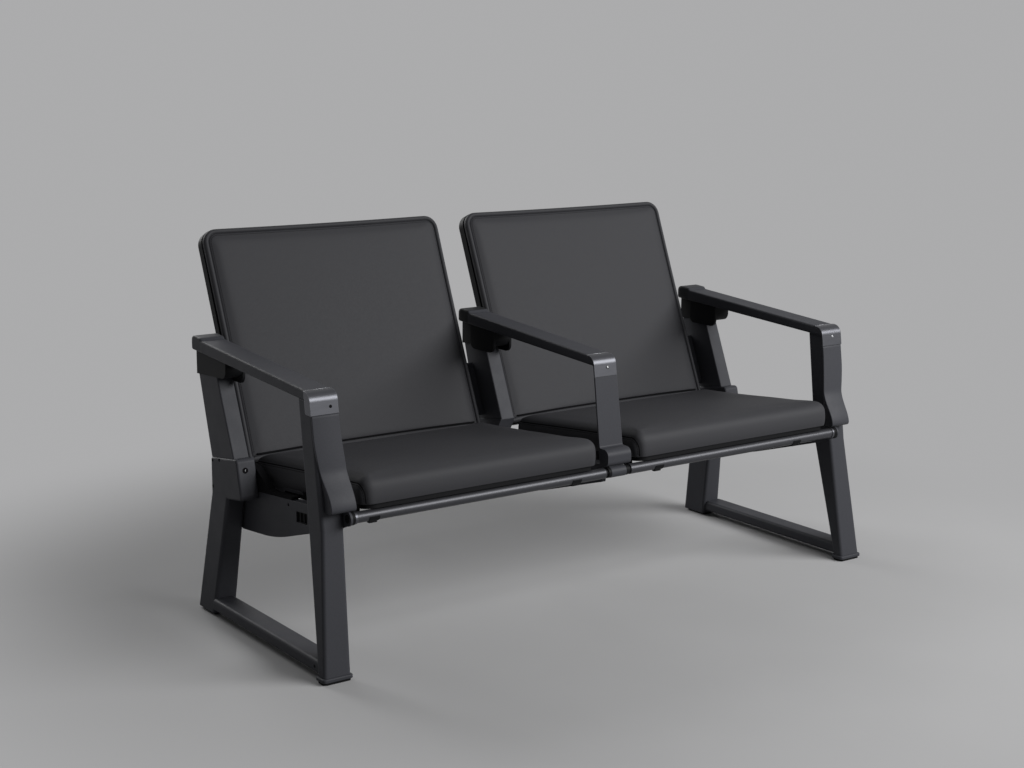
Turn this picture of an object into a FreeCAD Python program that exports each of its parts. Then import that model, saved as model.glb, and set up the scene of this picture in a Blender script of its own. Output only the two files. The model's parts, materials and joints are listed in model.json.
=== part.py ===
import FreeCAD, Part
import math
import os

os.makedirs("parts", exist_ok=True)
Vec = FreeCAD.Vector

# Two seats in a row on a sled frame. X runs along the row, the front is towards -Y and Z is up.
# The origin lies on the floor in the middle of the row. All sizes are in millimetres.

# Row
arm_pitch = 756.0
running_clearance = 0.05
soft_clearance = 0.3
tolerance = 0.01

# Feet and front legs
base_height = 8.0
base_flare = 4.0
base_edge = 3.0
rubber_height = 6.0
rubber_inset = 3.0
rear_rubber_inset = 7.0
front_foot_y = -386.0
leg_lean = 0.1464
leg_width_knee = 54.0
leg_width_foot = 66.0
leg_depth_top = 56.0
leg_depth_knee = 62.0
leg_depth_foot = 30.0
knee_drop = 26.0
leg_corner = 8.0
leg_wall = 4.0
leg_splay = 13.0

# Bottom rails
rail_width = 56.0
rail_height = 29.0
rail_corner = 8.0
rail_wall = 3.0

# Rear legs with their heads
rear_leg_lean = 0.141
rear_leg_depth = 83.0
rear_leg_width_foot = 58.0
head_width = 48.0
head_height = 78.0
head_behind_back = 67.5
head_above_back = 10.7
head_depth = 131.0
head_nose_rake = 23.0
head_tilt = 0.146
head_corner = 10.0
head_edge = 5.0

# Rear posts and knuckles
post_width = 40.0
post_setback = 20.0
post_rear_lean = 0.298
post_edge = 3.0
knuckle_width = 44.0
knuckle_behind_head = 65.0
knuckle_drop = 49.0
knuckle_tilt = 0.06
knuckle_length = 150.0
knuckle_corner = 20.0
lobe_length = 105.0
lobe_corner = 18.0
lobe_drop = 56.0
lobe_thickness = 6.0
knuckle_tab_thickness = 8.0
knuckle_tab_width = 30.0
knuckle_tab_corner = 5.0

# Arms, caps and straps
arm_height = 615.0
arm_rise = 0.0656
arm_width = 62.0
arm_thickness_front = 22.0
arm_thickness_rear = 28.0
arm_tail = 6.0
arm_edge = 2.5
hood_length = 44.0
hood_height = 6.0
hood_front_corner = 3.0
hood_rear_corner = 12.0
hood_under_corner = 6.0
cap_thickness = 4.0
cap_top_length = 22.0
cap_corner = 24.0
cap_drop = 48.0
wing_depth = 20.0
wing_thickness = 4.0
wing_corner = 6.0
strap_width = 66.0
strap_sweep = 22.0
strap_sweep_length = 110.0
strap_bend = 260.0
lip_reach = 31.0
lip_height = 25.0
lip_flare = 45.0
lip_crown = 16.0
lip_corner = 12.0
lip_spread = 10.0
lip_spread_drop = 25.0
lip_spread_length = 70.0
boss_spread = 2.0
boss_height = 40.0
boss_crease = 5.0
boss_corner = 17.0

# Front tube
tube_height = 346.0
tube_stand_off = 16.0
tube_radius = 12.5
tube_wall = 2.5
nose_radius = 16.0
middle_nose_radius = 13.0
plug_flange = 8.0
plug_radius = 15.0
spigot_length = 30.0
collar_width = 6.0
collar_rim = 1.8
coupling_gap = 16.0
shoulder_length = 8.0

# Side plates
plate_thickness = 5.0
plate_above_pivot = 21.5
plate_depth = 100.0
belly_setback = 63.0
plate_overlap = 30.0
plate_belly_radius = 600.0
plate_front_height = 40.0
flange_width = 14.0
flange_thickness = 4.0
slot_length = 50.0
slot_height = 26.0
slot_gap = 100.0
slot_drop = 22.0
slot_corner = 2.0
plate_hole_gap = 36.0
insert_thickness = 7.0
insert_recess = 1.5
insert_rim = 2.0
insert_cells = 3
plate_hole_radius = 4.0
plate_hole_drop = 12.0

# Rear beam and middle carrier
beam_drop = 70.8
beam_radius = 20.0
beam_wall = 3.0
beam_clearance = 6.0
middle_width = 44.0
web_thickness = 10.0
band_thickness = 11.0
band_fillet = 18.0
clamp_wall = 10.0
clamp_corner = 15.0
carrier_corner = 9.0

# Seats
seat_angle = 5.5
cushion_gap = 52.0
cushion_overhang = 20.0
cushion_length = 490.0
cushion_side = 62.0
cushion_crown = 5.0
crown_radius = 7500.0
cushion_corner = 32.0
cushion_rear_corner = 10.0
side_bow = 3.0
bow_radius = 15000.0
base_tuck = 5.0
swell_height = 20.0
shoulder_drop = 12.0
shoulder_tuck = 3.0
edge_drop = 3.0
edge_tuck = 12.0
top_tuck = 26.0
pan_inset = 14.0
pan_depth = 10.0
pan_skirt = 22.0
pan_notch = 31.0
pan_sheet = 3.0
pan_corner = 28.0
pan_over_tube = 1.5
hinge_arm_thickness = 6.0
hinge_arm_length = 150.0
hinge_arm_corner = 6.0
hinge_throat = 18.0
eye_rim = 6.0
eye_flat = 1.0
pivot_setback = 76.0
pivot_drop = 36.0
stud_radius = 8.0
stud_flange_radius = 17.0
stud_flange = 5.0
bush_wall = 4.0
bush_length = 12.0
bumper_width = 40.0
bumper_depth = 24.0
bumper_inset = 110.0
bumper_wrap = 4.0

# Backs
back_gap = 44.0
back_lean = 22.6
back_length = 575.0
back_behind_seat = 9.3
back_below_seat = 21.7
back_corner = 36.0
back_foot_corner = 16.0
shell_thickness = 24.0
shell_edge = 5.0
shell_wall = 4.0
shell_rib = 3.0
shell_ribs_across = 3
shell_ribs_up = 4
pad_base = 13.0
pad_panel = 8.0
pad_panel_inset = 15.0
pad_crown_radius = 9000.0
border_tuck = 3.0
border_seam_tuck = 2.0
panel_swell = 3.0
panel_draw = 12.0
piping_radius = 5.0
piping_margin = 1.0
back_rail_start = 38.0
back_rail_length = 140.0
back_rail_depth = 14.0
back_rail_setback = 2.0
back_rail_corner = 5.0

# Lines and planes that several pieces share
frame_inner = arm_pitch - head_width / 2
leg_width_top = (head_width + arm_width) / 2
seat_centre = arm_pitch / 2
tilt = math.radians(seat_angle)
lean = math.radians(back_lean)
far = 2 * arm_pitch
foot_height = base_height + rubber_height


def front_plane(z):
    return front_foot_y + leg_lean * (z - foot_height)


leg_knee_height = tube_height - knee_drop
tube_y = front_plane(tube_height) - tube_stand_off
tube_top = tube_height + tube_radius
lip_bottom = tube_height + nose_radius
cap_bottom = arm_height - cap_drop
cushion_front = tube_y - cushion_overhang
pan_rise = pan_depth / math.cos(tilt) + cushion_overhang * math.tan(tilt)
cushion_base = tube_top + pan_over_tube + pan_rise


def seat_point(along, above):
    # Y and Z of a point on the seat, counted from the lower front edge of the cushion
    y = cushion_front + along * math.cos(tilt) + above * math.sin(tilt)
    z = cushion_base - along * math.sin(tilt) + above * math.cos(tilt)
    return y, z


pivot_y, pivot_z = seat_point(cushion_length - pivot_setback, -pivot_drop)
back_edge_y, back_edge_z = seat_point(cushion_length, cushion_side)
back_y = back_edge_y + back_behind_seat
back_z = back_edge_z - back_below_seat
head_rear = back_y + head_behind_back
head_top = back_z + head_above_back
head_base = head_top - head_height
head_nose_top = head_rear - head_depth
head_nose_bottom = head_nose_top - head_nose_rake
knuckle_rear = head_rear + knuckle_behind_head
knuckle_base = arm_height - knuckle_drop
arm_rear = knuckle_rear + arm_tail


def rear_plane(z):
    return head_rear + rear_leg_lean * (head_base - z)


beam_height = pivot_z - beam_drop
beam_y = rear_plane(beam_height) - rear_leg_depth / 2


def arm_top(y):
    return arm_height + arm_rise * (y - front_plane(arm_height))


def arm_under(y):
    run = arm_rear - front_plane(arm_height)
    share = (y - front_plane(arm_height)) / run
    return arm_top(y) - arm_thickness_front - share * (arm_thickness_rear - arm_thickness_front)


def head_line(y):
    return head_top + head_tilt * (head_rear - y)


def knuckle_line(y):
    return knuckle_base + knuckle_tilt * (knuckle_rear - y)


def crossing(height_at, y_at_zero, slope):
    # Point where the straight line z = height_at(y) meets the line y = y_at_zero + slope * z
    base = height_at(0.0)
    rise = (height_at(far) - base) / far
    y = (y_at_zero + slope * base) / (1.0 - slope * rise)
    return y, height_at(y)


def front_corner(height_at, ahead):
    return crossing(height_at, front_plane(0.0) - ahead, leg_lean)


# Drawing helpers
def at_side(x):
    return lambda a, b: Vec(x, a, b)


def at_front(y):
    return lambda a, b: Vec(a, y, b)


def at_height(z):
    return lambda a, b: Vec(a, b, z)


def rectangle(a_low, a_high, b_low, b_high, radius):
    low = [(a_low, b_low, radius), (a_high, b_low, radius)]
    high = [(a_high, b_high, radius), (a_low, b_high, radius)]
    return low + high


def rounded_wire(corners, place):
    # Closed outline of straight stretches, each corner (a, b, radius) turned by an arc
    count = len(corners)
    turns = []
    for index in range(count):
        here = Vec(corners[index][0], corners[index][1], 0)
        before = Vec(corners[index - 1][0], corners[index - 1][1], 0)
        after = Vec(corners[(index + 1) % count][0], corners[(index + 1) % count][1], 0)
        radius = corners[index][2]
        back_way = (before - here).normalize()
        next_way = (after - here).normalize()
        half = back_way.getAngle(next_way) / 2
        if radius == 0 or math.cos(half) < tolerance / 10:
            turns.append((here, None, here))
            continue
        reach = radius / math.tan(half)
        middle_way = (back_way + next_way).normalize()
        middle = here + middle_way * (radius / math.sin(half) - radius)
        turns.append((here + back_way * reach, middle, here + next_way * reach))
    edges = []
    for index in range(count):
        start, middle, end = [p if p is None else place(p.x, p.y) for p in turns[index]]
        follow = place(turns[(index + 1) % count][0].x, turns[(index + 1) % count][0].y)
        if middle is not None:
            edges.append(Part.Arc(start, middle, end).toShape())
        if end.distanceToPoint(follow) > tolerance:
            edges.append(Part.LineSegment(end, follow).toShape())
    return Part.Wire(edges)


def side_solid(corners, x_low, x_high):
    face = Part.Face(rounded_wire(corners, at_side(x_low)))
    return face.extrude(Vec(x_high - x_low, 0, 0))


def front_solid(corners, y_low, y_high):
    face = Part.Face(rounded_wire(corners, at_front(y_low)))
    return face.extrude(Vec(0, y_high - y_low, 0))


def plan_solid(corners, z_low, z_high):
    face = Part.Face(rounded_wire(corners, at_height(z_low)))
    return face.extrude(Vec(0, 0, z_high - z_low))


def rod(radius, x_low, x_high, y, z):
    return Part.makeCylinder(radius, x_high - x_low, Vec(x_low, y, z), Vec(1, 0, 0))


def ring(outer, inner, x_low, x_high, y, z):
    return rod(outer, x_low, x_high, y, z).cut(rod(inner, x_low, x_high, y, z))


def moved(shape, x):
    return shape.translated(Vec(x, 0, 0))


def mirrored(shape):
    return shape.mirror(Vec(0, 0, 0), Vec(1, 0, 0))


def soften(shape, radius, chosen):
    return shape.makeFillet(radius, [edge for edge in shape.Edges if chosen(edge)])


def lies_at_x(edge, x):
    box = edge.BoundBox
    return abs(box.XMin - x) < tolerance and abs(box.XMax - x) < tolerance


# Front leg: a tapered hollow column from the foot to the underside of the arm
def over_arm():
    low = -far
    corners = [(low, arm_under(low), 0), (far, arm_under(far), 0), (far, 2 * far, 0), (low, 2 * far, 0)]
    return side_solid(corners, -far, far)


def front_leg_block(inset):
    stations = [
        (foot_height, leg_splay, leg_width_foot, leg_depth_foot),
        (leg_knee_height, 0.0, leg_width_knee, leg_depth_knee),
        (arm_height, 0.0, leg_width_top, leg_depth_top),
    ]
    wires = []
    for z, splay, width, depth in stations:
        front = front_plane(z)
        inner = frame_inner + splay
        x_span = (inner + inset, inner + width - inset)
        y_span = (front + inset, front + depth - inset)
        wires.append(rounded_wire(rectangle(*x_span, *y_span, leg_corner - inset / 2), at_height(z)))
    return Part.makeLoft(wires, True, True)


def leg_rear_edge(z):
    share = (z - foot_height) / (leg_knee_height - foot_height)
    return front_plane(z) + leg_depth_foot + share * (leg_depth_knee - leg_depth_foot)


def front_leg():
    column = front_leg_block(0.0).cut(front_leg_block(leg_wall))
    return column.cut(over_arm())


# Rear leg: a leaning column whose top widens into a head with a nose to the front
def rear_column(inset):
    stations = [
        (rubber_height, leg_splay, rear_leg_width_foot),
        (head_base, 0.0, head_width),
    ]
    wires = []
    for z, splay, width in stations:
        rear = rear_plane(z)
        inner = frame_inner + splay
        x_span = (inner + inset, inner + width - inset)
        y_span = (rear - rear_leg_depth + inset, rear - inset)
        wires.append(rounded_wire(rectangle(*x_span, *y_span, leg_corner - inset / 2), at_height(z)))
    return Part.makeLoft(wires, True, True)


def rear_leg():
    nose_base = head_base - head_tilt * (head_nose_bottom - head_nose_top)
    underside = head_base - head_tilt * (head_depth - rear_leg_depth)
    corners = [
        (head_rear, head_line(head_rear), head_edge),
        (head_nose_top, head_line(head_nose_top), head_corner),
        (head_nose_bottom, nose_base, head_corner),
        (head_rear - rear_leg_depth, underside, 0),
        (head_rear, underside, 0),
    ]
    outer = frame_inner + head_width
    head = side_solid(corners, frame_inner, outer)

    def nose_edge(edge):
        on_side = lies_at_x(edge, outer) or lies_at_x(edge, frame_inner)
        return on_side and edge.BoundBox.YMax < head_nose_top + head_corner

    head = soften(head, head_edge, nose_edge)
    above_base = plan_solid(rectangle(-far, far, -far, far, 0), rubber_height + leg_wall, far)
    column = rear_column(0.0).cut(rear_column(leg_wall).common(above_base))
    return column.fuse(head).removeSplitter()


# Bottom rail: a flat hollow bar between the feet of the two legs
def rail():
    middle = frame_inner + leg_splay + leg_width_foot / 2
    low = foot_height
    high = foot_height + rail_height
    x_span = (middle - rail_width / 2, middle + rail_width / 2)
    start = front_foot_y + leg_depth_foot / 2
    bar = front_solid(rectangle(*x_span, low, high, rail_corner), start, rear_plane(foot_height))
    inner = (x_span[0] + rail_wall, x_span[1] - rail_wall, low + rail_wall, high - rail_wall)
    bar = bar.cut(front_solid(rectangle(*inner, rail_corner - rail_wall), start, rear_plane(foot_height)))
    bar = bar.cut(front_leg_block(0.0))
    corners = [
        (rear_plane(0.0) - rear_leg_depth, 0.0, 0),
        (rear_plane(arm_height) - rear_leg_depth, arm_height, 0),
        (far, arm_height, 0),
        (far, 0.0, 0),
    ]
    return bar.cut(side_solid(corners, 0.0, far))


# Front bases: flanged plates under the front legs, with rubber pads below them and below the rear legs
def pad(y_low, y_high, width, inset, z_low, z_high):
    inner = frame_inner + leg_splay
    corners = rectangle(inner + inset, inner + width - inset, y_low + inset, y_high - inset, leg_corner)
    return plan_solid(corners, z_low, z_high)


def front_base():
    rear = front_foot_y + leg_depth_foot
    plate = pad(front_foot_y, rear, leg_width_foot, -base_flare, rubber_height, foot_height)

    def top_edge(edge):
        return edge.BoundBox.ZMin > foot_height - tolerance

    return soften(plate, base_edge, top_edge)


def front_foot():
    inset = rubber_inset - base_flare
    return pad(front_foot_y, front_foot_y + leg_depth_foot, leg_width_foot, inset, 0.0, rubber_height)


def rear_foot():
    rear = rear_plane(rubber_height)
    return pad(rear - rear_leg_depth, rear, rear_leg_width_foot, rear_rubber_inset, 0.0, rubber_height)


# Rear post: a tapering blade with rounded front edges, between the head and the knuckle
def rear_post():
    foot_front = head_nose_top + post_setback
    front_slope = math.tan(lean)
    start = foot_front - front_slope * head_line(foot_front)
    top_front = crossing(knuckle_line, start, front_slope)
    rear_start = head_rear - post_rear_lean * head_line(head_rear)
    top_rear = crossing(knuckle_line, rear_start, post_rear_lean)
    corners = [
        (head_rear, head_line(head_rear), 0),
        (foot_front, head_line(foot_front), 0),
        (*top_front, 0),
        (*top_rear, 0),
    ]
    half = post_width / 2
    blade = side_solid(corners, -half, half)

    def front_edge(edge):
        on_side = lies_at_x(edge, half) or lies_at_x(edge, -half)
        return on_side and edge.BoundBox.YMax < top_front[0] + tolerance

    return soften(blade, post_edge, front_edge)


# Knuckle: the moulded block that joins a rear post to the underside of its arm, with a rounded lobe on its
# inner side
def knuckle(lobe_sides):
    front = knuckle_rear - knuckle_length
    corners = [
        (knuckle_rear, knuckle_line(knuckle_rear), 0),
        (front, knuckle_line(front), knuckle_corner),
        (front, arm_under(front), 0),
        (knuckle_rear, arm_under(knuckle_rear), 0),
    ]
    half = knuckle_width / 2
    block = side_solid(corners, -half, half)
    lobe_low = arm_under(front) - lobe_drop
    lobe_corners = [
        (front, arm_under(front), 0),
        (front, lobe_low, lobe_corner),
        (front + lobe_length, lobe_low, lobe_corner),
        (front + lobe_length, arm_under(front + lobe_length), 0),
    ]
    lobe = side_solid(lobe_corners, half, half + lobe_thickness)
    tab_low = knuckle_line(knuckle_rear)
    tab_high = arm_under(knuckle_rear)
    half_tab = knuckle_tab_width / 2
    tab_corners = rectangle(-half_tab, half_tab, tab_low, tab_high, knuckle_tab_corner)
    tab = front_solid(tab_corners, knuckle_rear, knuckle_rear + knuckle_tab_thickness)
    lobes = {"inner": mirrored(lobe), "outer": lobe}
    return block.fuse([tab] + [lobes[side] for side in lobe_sides]).removeSplitter()


# Arm: a flat slab with a rebate for the cap in front and a raised hood at the rear
def arm():
    def rebate(y):
        return arm_top(y) - cap_thickness

    cap_rear = front_plane(arm_height) + cap_top_length
    hood_front = arm_rear - hood_length
    corners = [
        (*front_corner(arm_under, 0.0), 0),
        (*front_corner(rebate, 0.0), cap_corner - cap_thickness),
        (cap_rear, rebate(cap_rear), 0),
        (cap_rear, arm_top(cap_rear), 0),
        (hood_front - hood_height, arm_top(hood_front), 0),
        (hood_front, arm_top(hood_front) + hood_height, hood_front_corner),
        (arm_rear, arm_top(arm_rear) + hood_height, hood_rear_corner),
        (arm_rear, arm_under(arm_rear), hood_under_corner),
    ]
    half = arm_width / 2
    slab = side_solid(corners, -half, half)

    def long_edge(edge):
        on_side = lies_at_x(edge, half) or lies_at_x(edge, -half)
        behind_cap = edge.BoundBox.YMin > cap_rear - tolerance
        return on_side and behind_cap and edge.BoundBox.ZMax > arm_top(cap_rear) + tolerance

    return soften(slab, arm_edge, long_edge)


# Cap and strap: one bent band in two pieces over the front of each arm and post
def cap(winged):
    def inner(y):
        return arm_top(y) - cap_thickness

    cap_rear = front_plane(arm_height) + cap_top_length
    corners = [
        (cap_rear, arm_top(cap_rear), 0),
        (*front_corner(arm_top, cap_thickness), cap_corner),
        (front_plane(cap_bottom) - cap_thickness, cap_bottom, 0),
        (front_plane(cap_bottom), cap_bottom, 0),
        (*front_corner(inner, 0.0), cap_corner - cap_thickness),
        (cap_rear, inner(cap_rear), 0),
    ]
    half = strap_width / 2
    half_top = arm_width / 2
    band = side_solid(corners, -half, half)
    if not winged:
        return band
    wing_corners = [
        (*front_corner(arm_top, -wing_depth), 0),
        (*front_corner(arm_top, cap_thickness), cap_corner),
        (front_plane(cap_bottom) - cap_thickness, cap_bottom, 0),
        (front_plane(cap_bottom) + wing_depth, cap_bottom, wing_corner),
    ]
    wing = side_solid(wing_corners, half_top, half_top + wing_thickness)
    return band.fuse(wing).removeSplitter()


def strap_band(crease, crease_radius, lip_top, lip_top_radius):
    # Side view of a strap: down from the cap, out at the crease and round the lip
    lip_front = front_plane(lip_bottom) - lip_reach
    corners = [
        (front_plane(cap_bottom) - cap_thickness, cap_bottom, 0),
        (front_plane(crease) - cap_thickness, crease, crease_radius),
        (lip_front, lip_top, lip_top_radius),
        (lip_front, lip_bottom, lip_corner),
        (front_plane(lip_bottom), lip_bottom, 0),
        (front_plane(cap_bottom), cap_bottom, 0),
    ]
    return side_solid(corners, -strap_width, strap_width)


def end_strap():
    flare_top = lip_bottom + lip_flare
    band = strap_band(flare_top, lip_flare, lip_bottom + lip_height, lip_crown)
    half = strap_width / 2
    below = lip_bottom - lip_height
    sweep_middle = (cap_bottom + lip_bottom) / 2
    sweep_top = sweep_middle + strap_sweep_length / 2
    sweep_bottom = sweep_middle - strap_sweep_length / 2
    spread_top = cap_bottom - lip_spread_drop
    outline = [
        (-half, cap_bottom, 0),
        (half, cap_bottom, 0),
        (half, sweep_top, strap_bend),
        (half - strap_sweep, sweep_bottom, strap_bend),
        (half - strap_sweep, below, 0),
        (-half - lip_spread, below, 0),
        (-half - lip_spread, spread_top - lip_spread_length, strap_bend),
        (-half, spread_top, strap_bend),
    ]
    return band.common(front_solid(outline, -far, far))


def middle_strap():
    boss_top = lip_bottom + boss_height
    band = strap_band(boss_top, boss_crease, boss_top, boss_corner)
    half = strap_width / 2
    outline = [
        (-half, cap_bottom, 0),
        (half, cap_bottom, 0),
        (half + boss_spread, lip_bottom, 0),
        (-half - boss_spread, lip_bottom, 0),
    ]
    return band.common(front_solid(outline, -far, far))


# Seat frame of reference: Y runs back along the tilted seat from the lower front edge of the cushion
def on_seat(shape):
    turned = shape.rotated(Vec(0, 0, 0), Vec(1, 0, 0), -seat_angle)
    return turned.translated(Vec(seat_centre, cushion_front, cushion_base))


plate_rear = beam_y - beam_radius - beam_clearance


def plate_line(y):
    # Top edge of the side plates and the middle web, parallel to the seat
    return pivot_z + plate_above_pivot + math.tan(tilt) * (pivot_y - y)


def along_plate(y_low, y_high, upper_drop, lower_drop, radius):
    lower = [(y, plate_line(y) - lower_drop, radius) for y in (y_low, y_high)]
    upper = [(y, plate_line(y) - upper_drop, radius) for y in (y_high, y_low)]
    return lower + upper


web_front = leg_rear_edge(leg_knee_height)
slot_front = web_front + slot_gap
slot_rear = slot_front + slot_length
plate_front_low = plate_line(web_front - plate_overlap) - plate_front_height


# Side plate: sheet with a rounded belly, a top flange, a slot and a nose that holds the front tube
def belly_outline():
    front = web_front - plate_overlap
    belly_y = pivot_y - belly_setback
    return [
        (plate_rear, plate_line(plate_rear), plate_thickness),
        (front, plate_line(front), 0),
        (front, plate_front_low, plate_thickness),
        (belly_y, plate_line(belly_y) - plate_depth, plate_belly_radius),
        (plate_rear, plate_line(plate_rear) - plate_depth, plate_thickness),
    ]


def side_plate():
    low = frame_inner - plate_thickness
    sheet = side_solid(belly_outline(), low, frame_inner)
    neck = [
        (tube_y, tube_height + nose_radius, 0),
        (web_front, plate_line(web_front), 0),
        (web_front - plate_overlap, plate_front_low, 0),
        (tube_y, tube_height - nose_radius, 0),
    ]
    nose = side_solid(neck, low, frame_inner)
    eye = rod(nose_radius, low, frame_inner, tube_y, tube_height)
    flange_corners = along_plate(web_front, plate_rear - plate_thickness, 0.0, flange_thickness, 0)
    flange = side_solid(flange_corners, low - flange_width, low)
    plate = sheet.fuse([nose, eye, flange]).removeSplitter()
    plate = plate.cut(rod(tube_radius - tube_wall, low, frame_inner, tube_y, tube_height))
    slot = along_plate(slot_front, slot_rear, slot_drop, slot_drop + slot_height, slot_corner)
    plate = plate.cut(side_solid(slot, low, frame_inner))
    hole_y = slot_rear + plate_hole_gap
    hole_z = plate_line(hole_y) - plate_hole_drop
    return plate.cut(rod(plate_hole_radius, low, frame_inner, hole_y, hole_z))


# Slot insert: a shallow ribbed plastic tray pressed into the slot of a side plate
def slot_insert():
    low = frame_inner - insert_thickness
    corners = along_plate(slot_front, slot_rear, slot_drop, slot_drop + slot_height, slot_corner)
    block = side_solid(corners, low, frame_inner - insert_recess)
    pitch = (slot_length - insert_rim) / insert_cells
    drops = (slot_drop + insert_rim, slot_drop + slot_height - insert_rim)
    for count in range(insert_cells):
        start = slot_front + insert_rim + count * pitch
        pocket = along_plate(start, start + pitch - insert_rim, *drops, 0)
        block = block.cut(side_solid(pocket, frame_inner - plate_thickness, frame_inner))
    return block


# Front tube: two sleeves on end plugs and a coupling through the middle post
plug_face = frame_inner - plate_thickness
tube_outer_end = plug_face - plug_flange
tube_inner_end = middle_width / 2 + coupling_gap


def front_tube():
    spigot = tube_radius - tube_wall
    return ring(tube_radius, spigot, tube_inner_end, tube_outer_end, tube_y, tube_height)


def end_plug():
    spigot = tube_radius - tube_wall
    core = rod(spigot, tube_outer_end - spigot_length, frame_inner, tube_y, tube_height)
    flange = rod(plug_radius, tube_outer_end, plug_face, tube_y, tube_height)
    return core.fuse(flange).removeSplitter()


def collars():
    outer = tube_radius + collar_rim
    collar = ring(outer, tube_radius, tube_outer_end - collar_width, tube_outer_end, tube_y, tube_height)
    return [collar, mirrored(collar)]


def coupling():
    spigot = tube_radius - tube_wall
    reach = tube_inner_end + spigot_length
    core = rod(spigot, -reach, reach, tube_y, tube_height)
    half = middle_width / 2
    shoulder = rod(tube_radius, half, half + shoulder_length, tube_y, tube_height)
    return core.fuse([shoulder, mirrored(shoulder)]).removeSplitter()


# Middle carrier: a front post that thins to a band under the arm, a web and a rear clamp
def middle_post():
    bottom = tube_height - middle_nose_radius
    band_top = front_corner(arm_under, -band_thickness)
    gusset_y = band_top[0] + 2 * band_fillet
    corners = [
        (front_plane(arm_height), arm_height, 0),
        (front_plane(lip_bottom), lip_bottom, 0),
        (front_plane(lip_bottom), bottom, carrier_corner),
        (web_front, plate_front_low, carrier_corner),
        (web_front, plate_line(web_front), carrier_corner),
        (front_plane(lip_bottom) + band_thickness, lip_bottom, carrier_corner),
        (*band_top, band_fillet),
        (gusset_y, arm_under(gusset_y), 0),
        (gusset_y, arm_height, 0),
    ]
    half = middle_width / 2
    post = side_solid(corners, -half, half)
    nose_corners = rectangle(tube_y, front_plane(lip_bottom), bottom, lip_bottom, 0)
    nose = side_solid(nose_corners, -half, half)
    eye = rod(middle_nose_radius, -half, half, tube_y, tube_height)
    post = post.fuse([nose, eye]).removeSplitter()
    post = post.cut(rod(tube_radius - tube_wall, -half, half, tube_y, tube_height))
    return post.cut(over_arm())


def middle_clamp():
    outer = beam_radius + clamp_wall
    front = plate_rear
    corners = [
        (head_rear, head_line(head_rear), 0),
        (head_nose_top + post_setback, head_line(head_nose_top + post_setback), 0),
        (front, head_base, head_corner),
        (beam_y - outer, beam_height, 0),
        (beam_y - outer, beam_height - outer, clamp_corner),
        (beam_y + outer, beam_height - outer, clamp_corner),
        (beam_y + outer, beam_height, 0),
        (head_rear, head_base, head_corner),
    ]
    half = middle_width / 2
    block = side_solid(corners, -half, half)
    return block.cut(rod(beam_radius, -half, half, beam_y, beam_height))


def middle_web():
    half = web_thickness / 2
    sheet = side_solid(belly_outline(), -half, half)
    return sheet.cut(middle_post()).cut(middle_clamp())


def rear_beam():
    reach = frame_inner + leg_splay
    beam = ring(beam_radius, beam_radius - beam_wall, -reach, reach, beam_y, beam_height)
    column = rear_column(0.0)
    return beam.cut(column).cut(mirrored(column))


# Seat pan: a tray with a turned-down skirt, cut back in front to pass over the tube
pan_half = seat_centre - cushion_gap - pan_inset


def seat_pan():
    y_span = (pan_inset, cushion_length - pan_inset)
    tray = plan_solid(rectangle(-pan_half, pan_half, *y_span, pan_corner), -pan_skirt, 0.0)
    inner_half = pan_half - pan_sheet
    inner_y = (y_span[0] + pan_sheet, y_span[1] - pan_sheet)
    inner = rectangle(-inner_half, inner_half, *inner_y, pan_corner - pan_sheet)
    tray = tray.cut(plan_solid(inner, -pan_skirt, -pan_sheet))
    over_tube = rectangle(-far, far, -far, pan_inset + pan_notch, 0)
    tray = tray.cut(plan_solid(over_tube, -pan_skirt, -pan_depth))
    return on_seat(tray)


# Hinge arms: plates on the sides of the pan that reach down to the pivot
def hinge_arms():
    along = cushion_length - pivot_setback
    bore = stud_radius + bush_wall
    eye = bore + eye_rim
    tail = along + eye
    corners = [
        (tail - hinge_arm_length, -pan_sheet, 0),
        (tail, -pan_sheet, hinge_arm_corner),
        (tail, -pivot_drop - eye, eye - eye_flat),
        (along - eye, -pivot_drop - eye, eye - eye_flat),
        (along - eye - hinge_throat, -pan_depth, hinge_throat),
        (tail - hinge_arm_length, -pan_depth, 0),
    ]
    outer = pan_half + hinge_arm_thickness
    plate = side_solid(corners, pan_half, outer)
    plate = plate.cut(rod(bore, pan_half, outer, along, -pivot_drop))
    return [on_seat(plate), on_seat(mirrored(plate))]


def bushes():
    along = cushion_length - pivot_setback
    outer = stud_radius + bush_wall
    inner = stud_radius + running_clearance
    bush = ring(outer, inner, pan_half, pan_half + bush_length, along, -pivot_drop)
    return [on_seat(bush), on_seat(mirrored(bush))]


# Rubber bumpers under the pan, hollowed to sit over the front tube
def bumpers():
    gap = rod(tube_radius + soft_clearance, -far, far, tube_y, tube_height)
    front = pan_inset + pan_sheet
    low = -pan_depth - pan_over_tube - bumper_wrap
    blocks = []
    for x in (-pan_half + bumper_inset, pan_half - bumper_inset):
        x_span = (x - bumper_width / 2, x + bumper_width / 2)
        corners = rectangle(*x_span, front, front + bumper_depth, 0)
        block = on_seat(plan_solid(corners, low, -pan_sheet))
        blocks.append(block.cut(gap))
    return blocks


# Pivot studs on the inner faces of the side plates and on both sides of the middle web
def studs():
    tip = soft_clearance
    outer = rod(stud_radius, seat_centre + pan_half + tip, plug_face, pivot_y, pivot_z)
    outer = outer.fuse(rod(stud_flange_radius, plug_face - stud_flange, plug_face, pivot_y, pivot_z))
    web = web_thickness / 2
    inner = rod(stud_radius, web, seat_centre - pan_half - tip, pivot_y, pivot_z)
    inner = inner.fuse(rod(stud_flange_radius, web, web + stud_flange, pivot_y, pivot_z))
    return [outer, inner, mirrored(outer), mirrored(inner)]


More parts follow.
